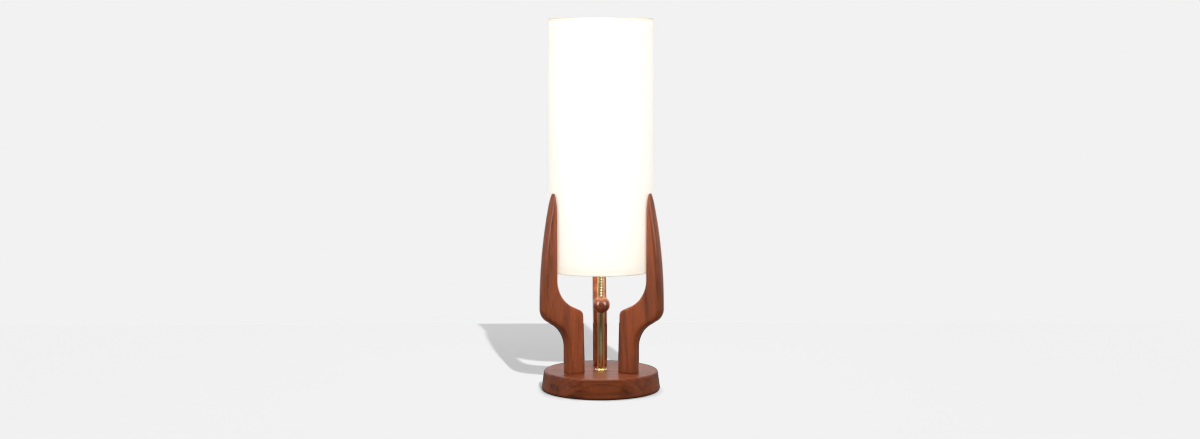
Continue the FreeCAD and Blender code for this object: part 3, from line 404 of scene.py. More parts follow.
def make_weave_group():
    """Plain weave: two crossed sets of threads, each a rounded ridge |sin|, that pass over and under by
    the sign of sin times sin. The slubs are long noise laid along both sets, as in slubbed linen. Puts
    out the height, a mask of the threads' dark gaps and a slub mask."""
    tree, given, result = new_group(
        "plain_weave",
        [
            ("Vector", "NodeSocketVector", (0, 0, 0)),
            ("Threads", "NodeSocketFloat", 1500.0),
        ],
        [
            ("Height", "NodeSocketFloat"),
            ("Gaps", "NodeSocketFloat"),
            ("Slub", "NodeSocketFloat"),
        ],
    )
    parts = add(tree, "ShaderNodeSeparateXYZ", {"Vector": given.outputs["Vector"]})
    waves = []
    for axis in ("X", "Y"):
        turns = math_node(tree, "MULTIPLY", parts.outputs[axis], given.outputs["Threads"])
        waves.append(math_node(tree, "SINE", turns))
    ridges = [math_node(tree, "ABSOLUTE", wave) for wave in waves]
    crossing = math_node(tree, "MULTIPLY", waves[0], waves[1])
    over = map_range(tree, crossing, -0.4, 0.4)
    height = math_node(
        tree,
        "ADD",
        math_node(tree, "MULTIPLY", ridges[0], over),
        math_node(tree, "MULTIPLY", ridges[1], math_node(tree, "SUBTRACT", 1.0, over)),
    )
    tree.links.new(height, result.inputs["Height"])
    gap = math_node(tree, "SUBTRACT", 1.0, math_node(tree, "MAXIMUM", ridges[0], ridges[1]))
    tree.links.new(gap, result.inputs["Gaps"])
    slubs = []
    for stretch in ((1, 0.03, 1), (0.03, 1, 1)):
        way = add(
            tree, "ShaderNodeMapping", {"Vector": given.outputs["Vector"], "Scale": stretch}
        ).outputs["Vector"]
        slubs.append(noise(tree, way, 900.0, 2.0, 0.6))
    slub = math_node(tree, "MULTIPLY", math_node(tree, "ADD", slubs[0], slubs[1]), 0.5)
    tree.links.new(slub, result.inputs["Slub"])
    return tree


grain = make_grain_group()
wear = make_wear_group()
weave = make_weave_group()


def finish_material(tree, shader, effect, strength, distance):
    """Feeds an effect's colour, roughness and height to the shader."""
    tree.links.new(effect.outputs["Color"], shader.inputs["Base Color"])
    tree.links.new(effect.outputs["Roughness"], shader.inputs["Roughness"])
    bump(tree, shader, effect.outputs["Height"], strength, distance)


def walnut(name, light, dark, rings, figure, streaks, polish=0.13, **place):
    """Lacquered walnut with its grain along the placed Z, satin or, with a high polish, glossy."""
    material, tree, shader = new_material(name)
    effect = use_group(
        tree,
        grain,
        {
            "Vector": object_place(tree, **place),
            "Light": (*light, 1),
            "Dark": (*dark, 1),
            "Rings": rings,
            "Figure": figure,
            "Streaks": streaks,
        },
    )
    finish_material(tree, shader, effect, 0.25, 0.0002)
    shader.inputs["Coat Weight"].default_value = polish
    shader.inputs["Coat Roughness"].default_value = 0.14 if polish < 0.5 else 0.07
    shader.inputs["Specular IOR Level"].default_value = 0.2
    return material


def metal(name, bright, tarnish, amount, roughness, scratch=2500.0):
    """Plated metal with tarnish clouds, fine scratches and specks."""
    material, tree, shader = new_material(name)
    effect = use_group(
        tree,
        wear,
        {
            "Vector": object_place(tree),
            "Bright": (*bright, 1),
            "Tarnish": (*tarnish, 1),
            "Amount": amount,
            "Base Roughness": roughness,
            "Scratch Scale": scratch,
        },
    )
    finish_material(tree, shader, effect, 0.08, 0.00005)
    shader.inputs["Metallic"].default_value = 1.0
    return material


def moulded(name, colour, mottle, roughness, scale, relief):
    """Moulded or fibrous matter: a mottled colour, uneven gloss and a fine skin texture."""
    material, tree, shader = new_material(name)
    vector = object_place(tree)
    fine = noise(tree, vector, scale, 3.0, 0.6)
    slow = noise(tree, vector, scale / 12, 3.0, 0.5)
    blend = math_node(tree, "MULTIPLY", math_node(tree, "ADD", fine, slow), 0.5)
    tree.links.new(
        mix_colour(tree, blend, (*colour, 1), (*mottle, 1)), shader.inputs["Base Color"]
    )
    uneven = math_node(tree, "ADD", roughness - 0.08, math_node(tree, "MULTIPLY", slow, 0.18))
    tree.links.new(uneven, shader.inputs["Roughness"])
    bump(tree, shader, fine, relief, 0.0002)
    return material


def shade_cloth(name, colour, shadow, painted_glow, strength, threads=1500.0, fold=0.0):
    """Lit shade cloth: slubbed plain weave whose gaps are darker in reflection. The cloth is opaque, and
    its glow is painted light, an emission of its own that stands in for the bulb's light coming through:
    a little warmer where the slubs are thick, warmer towards both ends of the drum as painted falloff,
    and weaker in the fold and the lapped seam at the back as painted shade, where the cloth lies double."""
    material, tree, shader = new_material(name)
    flat = tree.nodes.new("ShaderNodeUVMap")
    flat.uv_map = "cloth"
    effect = use_group(tree, weave, {"Vector": flat.outputs["UV"], "Threads": threads})
    thick = map_range(tree, effect.outputs["Slub"], 0.42, 0.66)
    gaps = math_node(tree, "MULTIPLY", effect.outputs["Gaps"], 0.5)
    tree.links.new(mix_colour(tree, gaps, (*colour, 1), (*shadow, 1)), shader.inputs["Base Color"])

    # Painted light: the glow is made warmer towards both ends of the drum, as the bulb's light falls off
    # there.
    level = add(tree, "ShaderNodeSeparateXYZ", {"Vector": object_place(tree)}).outputs["Z"]
    middle, half = (SHADE_LOW + LAMP_TOP) / 2, (LAMP_TOP - SHADE_LOW) / 2
    from_middle = math_node(tree, "ABSOLUTE", math_node(tree, "SUBTRACT", level, middle))
    painted_end_warmth = map_range(tree, from_middle, half - GLOW_FADE, half, interpolation_type="SMOOTHSTEP")
    thick = math_node(tree, "MULTIPLY", thick, 0.6)
    light = mix_colour(tree, thick, (*painted_glow, 1), tinted(painted_glow, (0.985, 0.955, 0.90)))
    painted_end_warmth = math_node(tree, "MULTIPLY", painted_end_warmth, 0.8)
    light = mix_colour(tree, painted_end_warmth, light, tinted(painted_glow, (0.96, 0.91, 0.83)))
    # Painted shade: the glow is made weaker in the binding's fold.
    if fold:
        edge = map_range(tree, from_middle, half - fold, half - fold / 3)
        light = mix_colour(tree, edge, light, tinted(painted_glow, (0.22, 0.15, 0.10)))
    # Painted shade: the glow is made weaker where the lapped seam at the back lies double.
    around = add(tree, "ShaderNodeSeparateXYZ", {"Vector": flat.outputs["UV"]}).outputs["X"]
    painted_seam_shade = math_node(tree, "GREATER_THAN", around, math.pi * SHADE_RADIUS - SEAM_LAP)
    painted_seam_shade = math_node(tree, "MULTIPLY", painted_seam_shade, 0.8)
    light = mix_colour(tree, painted_seam_shade, light, tinted(painted_glow, (0.80, 0.68, 0.54)))
    tree.links.new(light, shader.inputs["Emission Color"])
    shader.inputs["Emission Strength"].default_value = strength
    rough = math_node(tree, "ADD", 0.80, math_node(tree, "MULTIPLY", effect.outputs["Gaps"], 0.15))
    tree.links.new(rough, shader.inputs["Roughness"])
    height = math_node(
        tree, "ADD", effect.outputs["Height"], math_node(tree, "MULTIPLY", effect.outputs["Slub"], 1.5)
    )
    bump(tree, shader, height, 0.35, 0.00015)
    shader.inputs["Sheen Weight"].default_value = 0.15
    return material


LEG_WALNUT = (0.370, 0.083, 0.020), (0.070, 0.015, 0.005)
# The foot's walnut is the legs' walnut darkened by about a sixth: painted shade for the low foot, which
# gets less light.
SHADED_FOOT_WALNUT = (0.310, 0.070, 0.018), (0.055, 0.012, 0.005)
BALL_WALNUT = (0.30, 0.068, 0.019), (0.08, 0.018, 0.007)

brass = metal("satin_brass", (0.88, 0.73, 0.36), (0.50, 0.33, 0.11), 0.28, 0.10)
chain_metal = metal("bead_brass", (0.95, 0.83, 0.56), (0.60, 0.42, 0.20), 0.20, 0.22, 6000.0)
zinc = metal("zinc_plate", (0.62, 0.62, 0.60), (0.38, 0.36, 0.30), 0.35, 0.32)
nickel = metal("bright_sheet", (0.78, 0.77, 0.74), (0.50, 0.47, 0.40), 0.25, 0.18)
felt_cloth = moulded("wool_felt", (0.020, 0.020, 0.022), (0.055, 0.052, 0.050), 0.95, 2600.0, 0.9)
black_plastic = moulded("black_plastic", (0.012, 0.012, 0.013), (0.025, 0.024, 0.024), 0.42, 3000.0, 0.25)
phenolic = moulded("dark_phenolic", (0.030, 0.017, 0.012), (0.060, 0.034, 0.022), 0.38, 700.0, 0.1)
fibre_board = moulded("fibre_liner", (0.30, 0.17, 0.09), (0.20, 0.11, 0.06), 0.80, 1800.0, 0.5)
white_coat = moulded("white_powder_coat", (0.80, 0.78, 0.73), (0.70, 0.68, 0.63), 0.45, 1600.0, 0.35)
black_wire = moulded("black_insulation", (0.014, 0.014, 0.015), (0.03, 0.03, 0.03), 0.35, 1500.0, 0.15)
white_wire = moulded("white_insulation", (0.72, 0.71, 0.68), (0.62, 0.61, 0.57), 0.35, 1500.0, 0.15)
black_glass = moulded("black_vitrite", (0.010, 0.010, 0.012), (0.02, 0.02, 0.03), 0.18, 800.0, 0.05)
beech = moulded("bare_beech", (0.58, 0.38, 0.20), (0.46, 0.28, 0.13), 0.65, 1200.0, 0.4)
cloth = shade_cloth("shade_cloth", (0.80, 0.78, 0.72), (0.58, 0.54, 0.46), (1.0, 0.955, 0.86), 0.50)
tape = shade_cloth(
    "binding_tape", (0.76, 0.72, 0.65), (0.50, 0.44, 0.37), (1.0, 0.94, 0.83), 0.47, 2200.0, fold=1.4 * MM
)


def glowing(name, colour, edge, strength):
    """A part of the bulb that gives light, its tint a little uneven over its surface."""
    material, tree, shader = new_material(name)
    cloud = noise(tree, object_place(tree), 120.0, 3.0, 0.5)
    tree.links.new(mix_colour(tree, cloud, (*colour, 1), (*edge, 1)), shader.inputs["Emission Color"])
    shader.inputs["Base Color"].default_value = (0.9, 0.88, 0.82, 1)
    shader.inputs["Roughness"].default_value = 0.35
    shader.inputs["Emission Strength"].default_value = strength
    return material


bulb_white = glowing("frosted_glow", (1.0, 0.80, 0.52), (1.0, 0.74, 0.44), 14.0)
filament_glow = glowing("filament_glow", (1.0, 0.62, 0.25), (1.0, 0.50, 0.16), 20.0)
mount_glass = moulded("mount_glass", (0.75, 0.76, 0.76), (0.65, 0.66, 0.66), 0.12, 500.0, 0.05)


def dress(piece, material, body="lamp", stands_for=()):
    """Gives a new piece its material and its body, and hides the nodes it stands for."""
    piece.data.materials.clear()
    piece.data.materials.append(material)
    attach(piece, body)
    if stands_for:
        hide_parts(*stands_for)


def redress(node, material):
    """Puts a material on a CAD node and smooths its shading, with its creases kept."""
    piece = nodes[node]
    piece.data.materials.clear()
    piece.data.materials.append(material)
    weld = piece.modifiers.new("weld", "WELD")
    weld.merge_threshold = 2e-6
    split = piece.modifiers.new("creases", "EDGE_SPLIT")
    split.split_angle = CREASE


# ---------------------------------------------------------------- foot


def make_base():
    """The turned foot: a rounded section carried round Z, with a bore for the lead's bushing."""
    corners = [
        (0.0, FELT),
        (BASE_LOW_RADIUS, FELT),
        (BASE_TOP_RADIUS, BASE_HEIGHT),
        (0.0, BASE_HEIGHT),
    ]
    steps = 14
    section = rounded_section(corners, (0, 3.5 * MM, 2.6 * MM, 0), steps)
    low = line((0.0, FELT), section[1], 12)
    top = line(section[-2], (0.0, BASE_HEIGHT), 24)
    side_start = steps + 2
    lower_round, upper_round = section[1:side_start], section[side_start:-1]
    side = line(lower_round[-1], upper_round[0], 10)
    profile = np.concatenate([low, lower_round[:-1], side, upper_round[:-1], top, [[0.0, BASE_HEIGHT]]])
    base = turned("base_turned", profile, 256)
    seat_bushing(base)
    dress(
        base,
        walnut(
            "shaded_walnut_foot",
            *SHADED_FOOT_WALNUT,
            rings=150.0,
            figure=0.020,
            streaks=0.75,
            turn=(0, 90, 0),
            shift=(0.03, 0.16, 0.0),
        ),
        stands_for=["base"],
    )


def seat_bushing(base):
    """Bores the way for the lead and the wider seat of its bushing into the back of the foot. The
    profile is in millimetres."""
    way, seat = 4.9, 7.35
    start, step, end = 66, 83.5, 95
    profile = [(0, start), (way, start), (way, step), (seat, step), (seat, end), (0, end)]
    bore = turned("lead_bore", np.array(profile) * MM, 48)
    bore.data.transform(
        Matrix.Translation((0, 0, INLET_LEVEL))
        @ Matrix.Rotation(math.radians(INLET_AZIMUTH), 4, "Z")
        @ Matrix.Rotation(math.radians(90), 4, "Y")
    )
    cut = base.modifiers.new("lead_bore", "BOOLEAN")
    cut.operation = "DIFFERENCE"
    cut.solver = "EXACT"
    cut.object = bore
    seen = base.evaluated_get(bpy.context.evaluated_depsgraph_get())
    mesh = bpy.data.meshes.new_from_object(seen)
    base.modifiers.clear()
    base.data = mesh
    bpy.data.objects.remove(bore)
    mesh.set_sharp_from_angle(angle=SHARP_EDGE)


# ---------------------------------------------------------------- legs


def leg_runs():
    """The leg's inner and outer side lines in its radial plane, as matching runs of (radius, height),
    written in millimetres."""
    inner = [
        line((33.2, 30.1), (34.9, 92), 26),
        line((34.9, 92), (35.6, 116), 14),
        arc((35.6, 116), (41.0, 124.2), -10, 14),
        line((41.0, 124.2), (53.2, 129.9), 8),
        arc((53.2, 129.9), (79.5, 170.8), 45, 30),
        line((79.5, 170.8), (79.6, 276), 50),
        line((79.6, 276), (80.9, 298.6), 24),
    ]
    outer = [
        line((60.6, 30.1), (60.6, 68), 26),
        arc((60.6, 68), (66.8, 89.9), -41.6, 14),
        arc((66.8, 89.9), (81.4, 104), -41.6, 14),
        line((81.4, 104), (90.9, 109.5), 8),
        arc((90.9, 109.5), (101.9, 130), 22, 30),
        arc((101.9, 130), (87.2, 276), 707, 50),
        arc((87.2, 276), (82.3, 298.6), 707, 24),
    ]
    return np.concatenate(inner) * MM, np.concatenate(outer) * MM


def leg_surface(name, azimuth):
    """A bent leg. At each station a line runs from the inner to the outer side of the profile. The
    section round that line is a slab whose edges are quarter circles: at a depth of r(1 - cos a) inside
    a side line, the slab is half its width less r(1 - sin a). Near the tip the width follows a pointed
    arch, and both radii shrink with the section."""
    inner, outer = leg_runs()
    across = outer - inner
    length = np.linalg.norm(across, axis=1)
    heading = across / length[:, None]

    def slant(side):
        along = np.gradient(side, axis=0)
        along /= np.linalg.norm(along, axis=1)[:, None]
        return np.abs(along[:, 0] * heading[:, 1] - along[:, 1] * heading[:, 0]).clip(0.35)

    inner_slant, outer_slant = slant(inner), slant(outer)
    thickness = length * np.minimum(inner_slant, outer_slant)
    middle_height = (inner[:, 1] + outer[:, 1]) / 2
    arch_start, tip = 258 * MM, 299.4 * MM
    climb = ((middle_height - arch_start) / (tip - arch_start)).clip(0, 1)
    point, blunt = 2.2, 0.004
    half = LEG_WIDTH / 2 * np.sqrt((1 - climb**point).clip(blunt))
    inner_edge, outer_edge, least_half = 3.0 * MM, 5.5 * MM, 5.6 * MM
    fit = np.minimum(0.96 * thickness / (inner_edge + outer_edge), half / least_half)
    share = np.minimum(1.0, fit)
    inner_round, outer_round = inner_edge * share, outer_edge * share

    bend = np.linspace(0, np.pi / 2, 9)[None]
    inner_depth = inner_round[:, None] * (1 - np.cos(bend)) / inner_slant[:, None]
    inner_half = half[:, None] - inner_round[:, None] * (1 - np.sin(bend))
    outer_sink = outer_round[:, None] * (1 - np.cos(bend[:, ::-1])) / outer_slant[:, None]
    outer_depth = length[:, None] - outer_sink
    outer_half = half[:, None] - outer_round[:, None] * (1 - np.sin(bend[:, ::-1]))
    between = np.linspace(0, 1, 8)[None, 1:-1]
    middle_depth = inner_depth[:, -1:] * (1 - between) + outer_depth[:, :1] * between
    middle_half = np.broadcast_to(half[:, None], middle_depth.shape)
    depth = np.concatenate([inner_depth, middle_depth, outer_depth], axis=1)
    side = np.concatenate([inner_half, middle_half, outer_half], axis=1)
    loop_depth = np.concatenate([depth, depth[:, ::-1]], axis=1)
    loop_side = np.concatenate([side, -side[:, ::-1]], axis=1)
    radius = inner[:, :1] + heading[:, :1] * loop_depth
    height = inner[:, 1:] + heading[:, 1:] * loop_depth

    turn = math.radians(azimuth)
    x = radius * math.cos(turn) - loop_side * math.sin(turn)
    y = radius * math.sin(turn) + loop_side * math.cos(turn)
    grid = np.stack([x, y, height], axis=-1)
    rows, columns = grid.shape[:2]
    faces = grid_faces(rows, columns).tolist()
    faces.append(list(range(columns)))
    tip_ring = (rows - 1) * columns
    faces.append([tip_ring + index for index in range(columns)])
    points = grid.reshape(-1, 3)
    return tidy(mesh_piece(name, points, faces))


def make_legs():
    """The three legs, each with its own stretch of grain."""
    for index, (node, azimuth) in enumerate(LEG_AZIMUTHS.items()):
        leg = leg_surface(f"{node}_bent", azimuth)
        dress(
            leg,
            walnut(
                f"walnut_{node}",
                *LEG_WALNUT,
                rings=300.0,
                figure=0.016,
                streaks=0.55,
                turn=(4, 3, -azimuth),
                shift=(0.010 + 0.03 * index, 0.048 + 0.021 * index, 0.37 * index),
            ),
            stands_for=[node],
        )


# ---------------------------------------------------------------- pipe and ring


def make_pipe():
    """The brass pipe and the thin ring where it meets the foot."""
    low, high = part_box("stem")
    outer, bore, edge = 5.1 * MM, 3.4 * MM, 0.3 * MM
    corners = [(bore, low[2]), (outer, low[2]), (outer, high[2]), (bore, high[2])]
    profile = rounded_section(corners, (0, edge, edge, 0), 4)
    dress(turned("stem_pipe", profile, 96), brass, stands_for=["stem"])

    low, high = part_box("stem_check_ring")
    rim, eye = 8.9 * MM, 5.2 * MM
    profile = rounded_section(
        [
            (eye, low[2]),
            (rim, low[2]),
            (rim, low[2] + 1.1 * MM),
            (rim - 1.2 * MM, high[2]),
            (eye, high[2]),
        ],
        (0, 0.2 * MM, 0.7 * MM, 0.5 * MM, 0.15 * MM),
        6,
    )
    dress(turned("stem_ring_turned", profile, 96), brass, stands_for=["stem_check_ring"])


# ---------------------------------------------------------------- shade


def cylinder_sheet(name, radius, wall, low, high):
    """The shade's stiff sheet: a tube with an outer and an inner wall, joined at both edges. Its UV map
    is the flat sheet, in metres: the way round and the height."""
    around, up = 256, 24
    edge = wall / 3
    outer = line((radius, low + edge), (radius, high - edge), up)
    inner = line((radius - wall, high - edge), (radius - wall, low + edge), up)
    profile = np.concatenate(
        [outer, [[radius, high - edge], [radius - edge, high], [radius - wall + edge, high]], inner]
        + [[[radius - wall, low + edge], [radius - wall + edge, low], [radius - edge, low]]]
    )
    angle = np.linspace(0, 2 * np.pi, around, endpoint=False)
    r, z = profile[:, :1], profile[:, 1:]
    grid = np.stack([r * np.cos(angle), r * np.sin(angle), np.broadcast_to(z, (len(z), around))], axis=-1)
    piece = mesh_piece(name, grid.reshape(-1, 3), grid_faces(len(profile), around, wrap_rows=True))
    lay_flat(piece, radius)
    return piece


def lay_flat(piece, radius):
    """Gives a piece round Z a UV map in metres: the way round from the front, and the height."""
    mesh = piece.data
    points = np.zeros(len(mesh.vertices) * 3)
    mesh.vertices.foreach_get("co", points)
    points = points.reshape(-1, 3)
    corner = np.zeros(len(mesh.loops), int)
    mesh.loops.foreach_get("vertex_index", corner)
    starts = np.zeros(len(mesh.polygons), int)
    mesh.polygons.foreach_get("loop_start", starts)
    sizes = np.zeros(len(mesh.polygons), int)
    mesh.polygons.foreach_get("loop_total", sizes)
    angle = np.arctan2(points[corner, 0], -points[corner, 1])
    face = np.repeat(np.arange(len(starts)), sizes)
    first = angle[starts][face]
    angle += 2 * np.pi * np.round((first - angle) / (2 * np.pi))
    flat = np.stack([angle * radius, points[corner, 2]], axis=1)
    layer = mesh.uv_layers.new(name="cloth")
    layer.data.foreach_set("uv", flat.ravel())


def make_shade():
    """The drum's sheet and its two folded bindings."""
    cloth_radius = SHADE_RADIUS - TRIM_THICKNESS
    low, high = SHADE_LOW + TRIM_THICKNESS, LAMP_TOP - TRIM_THICKNESS
    sheet = cylinder_sheet("shade_sheet", cloth_radius, SHADE_WALL, low, high)
    tidy(sheet)
    dress(sheet, cloth, stands_for=["shade"])

    turned_in, lip = 4.5 * MM, 0.8 * MM
    for node, edge, inward in (("shade_trim_bottom", SHADE_LOW, 1), ("shade_trim_top", LAMP_TOP, -1)):
        inner = SHADE_RADIUS - turned_in
        section = [
            (inner, edge),
            (SHADE_RADIUS, edge),
            (SHADE_RADIUS, edge + inward * TRIM_HEIGHT),
            (cloth_radius, edge + inward * TRIM_HEIGHT),
            (cloth_radius, edge + inward * TRIM_THICKNESS),
            (inner + TRIM_THICKNESS, edge + inward * TRIM_THICKNESS),
            (inner + TRIM_THICKNESS, edge + inward * lip),
            (inner, edge + inward * lip),
        ]
        radii = (0.3 * MM, 0.33 * MM, 0.1 * MM, 0, 0, 0, 0, 0)
        binding = turned(f"{node}_tape", rounded_section(section, radii, 6), 256)
        lay_flat(binding, SHADE_RADIUS)
        dress(binding, tape, stands_for=[node])


# ---------------------------------------------------------------- chain and ball


def bead_run(name, levels, link_low, link_high):
    """Beads on their wire: each bead is a sphere of latitude and longitude with a small flat where the
    wire enters, and the wire is a thin tube between them."""
    rows, around, sides = 13, 20, 12
    latitude = np.linspace(-np.pi / 2, np.pi / 2, rows)
    longitude = np.linspace(0, 2 * np.pi, around, endpoint=False)
    ring = BEAD_RADIUS * np.cos(latitude)[:, None]
    x = ring * np.cos(longitude)
    y = ring * np.sin(longitude)
    flat = 0.94 * BEAD_RADIUS
    z = np.broadcast_to((BEAD_RADIUS * np.sin(latitude)).clip(-flat, flat)[:, None], x.shape)
    bead = np.stack([x, y, z], axis=-1).reshape(-1, 3)
    offsets = np.array([[0, CHAIN_PLACE, level] for level in levels])
    points = (bead[None] + offsets[:, None]).reshape(-1, 3)
    one = grid_faces(rows, around)
    faces = (one[None] + (np.arange(len(levels)) * len(bead))[:, None, None]).reshape(-1, 4)

    rod_radius = 0.45 * MM
    rod_angle = np.linspace(0, 2 * np.pi, sides, endpoint=False)
    rod_rows = np.array(
        [[0.0, link_low], [rod_radius, link_low], [rod_radius, link_high], [0.0, link_high]]
    )
    rod = np.stack(
        [
            rod_rows[:, :1] * np.cos(rod_angle),
            rod_rows[:, :1] * np.sin(rod_angle) + CHAIN_PLACE,
            np.broadcast_to(rod_rows[:, 1:], (len(rod_rows), sides)),
        ],
        axis=-1,
    ).reshape(-1, 3)
    rod_faces = grid_faces(len(rod_rows), sides) + len(points)
    return tidy(mesh_piece(name, np.concatenate([points, rod]), np.concatenate([faces, rod_faces])))


def make_chain():
    """The lower run of beads and the turned wooden ball."""
    _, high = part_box("chain_lower")
    levels = high[2] - BEAD_RADIUS - BEAD_PITCH * np.arange(BEADS)
    lower = bead_run("chain_lower_beads", levels, levels[-1], levels[0])
    dress(lower, chain_metal, "chain_lower", ["chain_lower"])

    low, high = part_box("pull_ball")
    radius = (high[0] - low[0]) / 2
    centre = low[2] + radius
    bore, chamfer = 2.0 * MM, 0.25 * MM
    mouth = math.sqrt(radius * radius - bore * bore)
    depth = levels[-1] - BEAD_RADIUS
    angle = np.linspace(-np.pi / 2, math.atan2(mouth, bore) - 0.03, 72)
    outside = np.stack([radius * np.cos(angle), centre + radius * np.sin(angle)], axis=1)
    profile = np.concatenate(
        [outside, [[bore, centre + mouth - chamfer], [bore, depth], [0.0, depth]]]
    )
    ball = turned("pull_ball_turned", profile, 96, centre=(0.0, CHAIN_PLACE))
    dress(
        ball,
        walnut(
            "walnut_ball",
            *BALL_WALNUT,
            rings=420.0,
            figure=0.010,
            streaks=0.4,
            polish=0.8,
            turn=(78, 10, 20),
            shift=(0.02, 0.06, 0.0),
        ),
        "chain_lower",
        ["pull_ball"],
    )


# ---------------------------------------------------------------- bulb


def make_bulb():
    """The frosted envelope: neck, throat and globe from tangent arcs, carried round Z."""
    low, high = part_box("bulb_glass")
    globe, neck, wall = 30.0 * MM, 12.4 * MM, 0.7 * MM
    centre = high[2] - globe
    join = globe * math.sqrt(0.5)
    throat = centre - join - (join - neck) / math.tan(math.radians(22.5))
    throat_round = (join - neck) / (math.sqrt(0.5) * math.tan(math.radians(22.5)))
    outside = np.concatenate(
        [
            line((neck, low[2]), (neck, throat), 6),
            arc((neck, throat), (join, centre - join), -throat_round, 16),
            arc((join, centre - join), (0.0, centre + globe), globe, 40),
            [[0.0, centre + globe]],
        ]
    )
    inside = outside[::-1].copy()
    inside[:, 0] = (inside[:, 0] - wall).clip(0)
    inside[0, 1] -= wall
    glass = turned("bulb_envelope", np.concatenate([outside, inside]), 96)
    dress(glass, bulb_white, stands_for=["bulb_glass"])


# ---------------------------------------------------------------- making the pieces

make_base()
make_legs()
make_pipe()
make_shade()
make_chain()
make_bulb()

for node, material in {
    "base_felt": felt_cloth,
    "cord_bushing": black_plastic,
    "leg_screws": zinc,
    "leg_dowels": beech,
    "stem_washer": zinc,
    "stem_nut": zinc,
    "fitter_collar": brass,
    "lead_wire_live": black_wire,
    "lead_wire_neutral": white_wire,
    "shade_fitter": white_coat,
    "shade_top_ring": white_coat,
    "socket_cap": brass,
    "socket_shell": brass,
    "socket_liner": fibre_board,
    "socket_set_screw": brass,
    "socket_block": phenolic,
    "terminal_screws": brass,
    "socket_screw_shell": nickel,
    "socket_centre_contact": brass,
    "switch_lever": brass,
    "switch_lever_pin": zinc,
    "switch_rotor": phenolic,
    "switch_guard": brass,
    "chain_ring": chain_metal,
    "chain_upper": chain_metal,
    "chain_coupling": chain_metal,
    "bulb_cap": nickel,
    "bulb_insulator": black_glass,
    "bulb_tip": zinc,
    "bulb_mount": mount_glass,
    "bulb_filaments": filament_glow,
}.items():
    redress(node, material)


# ---------------------------------------------------------------- floor, light and camera

BACKDROP = 0.887
AMBIENT = 0.42


def make_floor():
    """A wide floor that only catches shadows, so that the backdrop is seen through it."""
    reach, back = 4, 0.672
    points = np.array(
        [[-reach, -reach, 0], [reach, -reach, 0], [reach, back, 0], [-reach, back, 0]], float
    )
    floor = mesh_piece("floor", points, [(0, 1, 2, 3)])
    material, _, shader = new_material("floor_paint")
    shader.inputs["Base Color"].default_value = (0.22, 0.215, 0.21, 1)
    shader.inputs["Roughness"].default_value = 0.9
    shader.inputs["Specular IOR Level"].default_value = 0.1
    floor.data.materials.append(material)
    floor.is_shadow_catcher = True


def make_world():
    """Even light from all round. The camera and mirrors see the backdrop, which is brighter than it."""
    world = bpy.data.worlds.new("studio")
    bpy.context.scene.world = world
    world.use_nodes = True
    tree = world.node_tree
    tree.nodes.clear()
    path = tree.nodes.new("ShaderNodeLightPath")
    seen = math_node(tree, "MAXIMUM", path.outputs["Is Camera Ray"], path.outputs["Is Glossy Ray"])
    light = add(tree, "ShaderNodeBackground", {"Color": (1, 1, 1, 1), "Strength": AMBIENT})
    back = add(tree, "ShaderNodeBackground", {"Color": (BACKDROP,) * 3 + (1,), "Strength": 1.0})
    mixed = add(tree, "ShaderNodeMixShader", {0: seen})
    tree.links.new(light.outputs[0], mixed.inputs[1])
    tree.links.new(back.outputs[0], mixed.inputs[2])
    output = tree.nodes.new("ShaderNodeOutputWorld")
    tree.links.new(mixed.outputs[0], output.inputs["Surface"])


def softbox(name, place, aim, size, power, spread=180, left_out=("floor",)):
    """A rectangular studio lamp aimed at a point, which sheds no light on the pieces left out; a spread
    under 180 degrees is a grid on its front."""
    data = bpy.data.lights.new(name, "AREA")
    data.shape = "RECTANGLE"
    data.size, data.size_y = size
    data.energy = power
    data.spread = math.radians(spread)
    lamp = bpy.data.objects.new(name, data)
    bpy.context.scene.collection.objects.link(lamp)
    lamp.location = place
    back = np.array(place, float) - np.array(aim, float)
    flat = math.hypot(back[0], back[1])
    lamp.rotation_euler = (math.atan2(flat, back[2]), 0, math.atan2(back[0], -back[1]))
    unlit = bpy.data.collections.new(f"{name}_unlit")
    for piece in left_out:
        unlit.objects.link(bpy.data.objects[piece])
    for member in unlit.collection_objects:
        member.light_linking.link_state = "EXCLUDE"
    lamp.light_linking.receiver_collection = unlit
    return lamp


def make_camera():
    """The photograph's view: 2.52 m in front, above the lamp's middle, looking 5 degrees down."""
    picture_width, focal_pixels, sensor = 1200, 1700.95, 36.0
    distance, height, down, aside = 2.51956, 0.4769, 5.0074, -0.001334
    turn = math.radians(1.6)
    data = bpy.data.cameras.new("camera")
    data.sensor_width = sensor
    data.lens = sensor * focal_pixels / picture_width
    data.clip_start, data.clip_end = 0.05, 50
    camera = bpy.data.objects.new("camera", data)
    bpy.context.scene.collection.objects.link(camera)
    camera.location = (
        aside * math.cos(turn) - distance * math.sin(turn),
        -distance * math.cos(turn) - aside * math.sin(turn),
        height,
    )
    camera.rotation_euler = (math.radians(90 - down), 0, -turn)
    bpy.context.scene.camera = camera


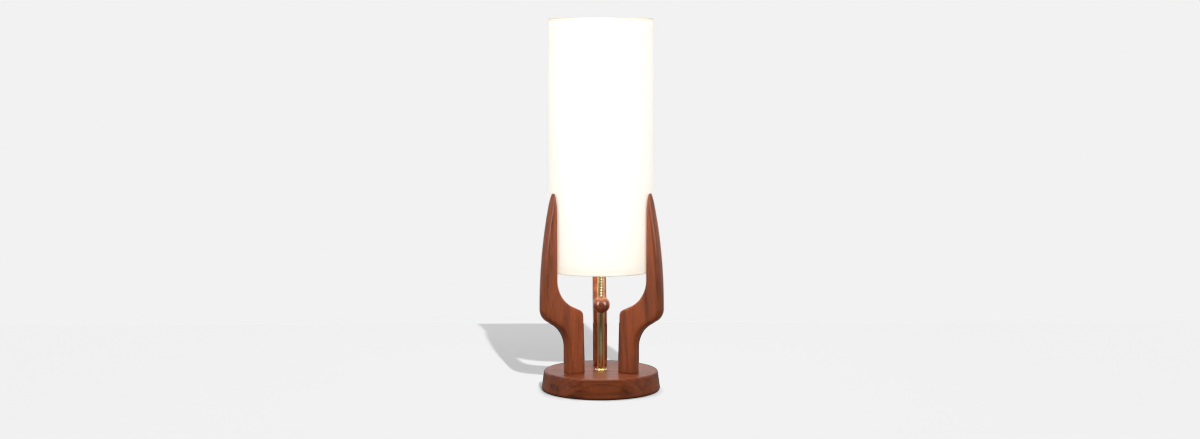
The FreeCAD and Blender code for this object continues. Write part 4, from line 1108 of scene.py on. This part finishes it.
def make_dark_screen(name, reach, low, high, spread):
    """A dark upright screen in an arc in front, seen only in gloss, so that brass and lacquer show a dim
    room in front and the pale backdrop at the sides."""
    angle = np.radians(np.linspace(-spread, spread, 25))
    ring = np.stack([reach * np.sin(angle), -reach * np.cos(angle)], axis=1)
    points = np.concatenate(
        [np.column_stack([ring, np.full(len(ring), level)]) for level in (low, high)]
    )
    screen = mesh_piece(name, points, grid_faces(2, len(ring), wrap_columns=False))
    material, _, shader = new_material(f"{name}_cloth")
    shader.inputs["Base Color"].default_value = (0.10, 0.09, 0.08, 1)
    shader.inputs["Roughness"].default_value = 0.9
    screen.data.materials.append(material)
    for way in ("camera", "diffuse", "transmission", "volume_scatter", "shadow"):
        setattr(screen, f"visible_{way}", False)


def make_window_glint(name, place):
    """An upright pane seen only in gloss, as a window is in polished wood. It leaves out the foot, whose
    flat top would mirror it whole from behind."""
    size, radiance = (0.55, 1.1), 15.0
    power = radiance * math.pi * size[0] * size[1]
    lamp = softbox(name, place, (0, 0, 0), size, power, left_out=("floor", "base_turned"))
    lamp.visible_diffuse = False


def key_light():
    """A small bright lamp in front and a little to the right. It lights the floor alone, on which it
    throws the lamp's crisp shadow."""
    data = bpy.data.lights.new("key", "POINT")
    data.shadow_soft_size = 0.02
    data.energy = 245
    lamp = bpy.data.objects.new("key", data)
    bpy.context.scene.collection.objects.link(lamp)
    lamp.location = (0.386, -2.31, 1.42)
    lamp.visible_glossy = False
    lit = bpy.data.collections.new("key_lit")
    lit.objects.link(bpy.data.objects["floor"])
    lamp.light_linking.receiver_collection = lit


make_floor()
make_world()
make_dark_screen("far_screen", reach=3.4, low=0.02, high=3.0, spread=58)
make_dark_screen("near_screen", reach=0.42, low=0.004, high=0.28, spread=34)
for name, place, aim, size, power, spread in (
    ("left_box", (-1.12, -1.10, 1.25), (0, 0, 0.45), (0.6, 0.6), 0.62, 38),
    ("right_box", (0.90, -1.30, 1.30), (0, 0, 0.45), (0.6, 0.6), 0.58, 38),
    ("high_box", (0, -1.5, 1.9), (0, 0, 0.62), (1.2, 0.8), 2.0, 50),
):
    softbox(name, place, aim, size, power, spread)
make_window_glint("left_glint", (-1.35, -1.10, 0.80))
make_window_glint("right_glint", (1.35, -1.10, 0.80))
key_light()
make_camera()
bpy.context.scene.view_settings.view_transform = "Standard"
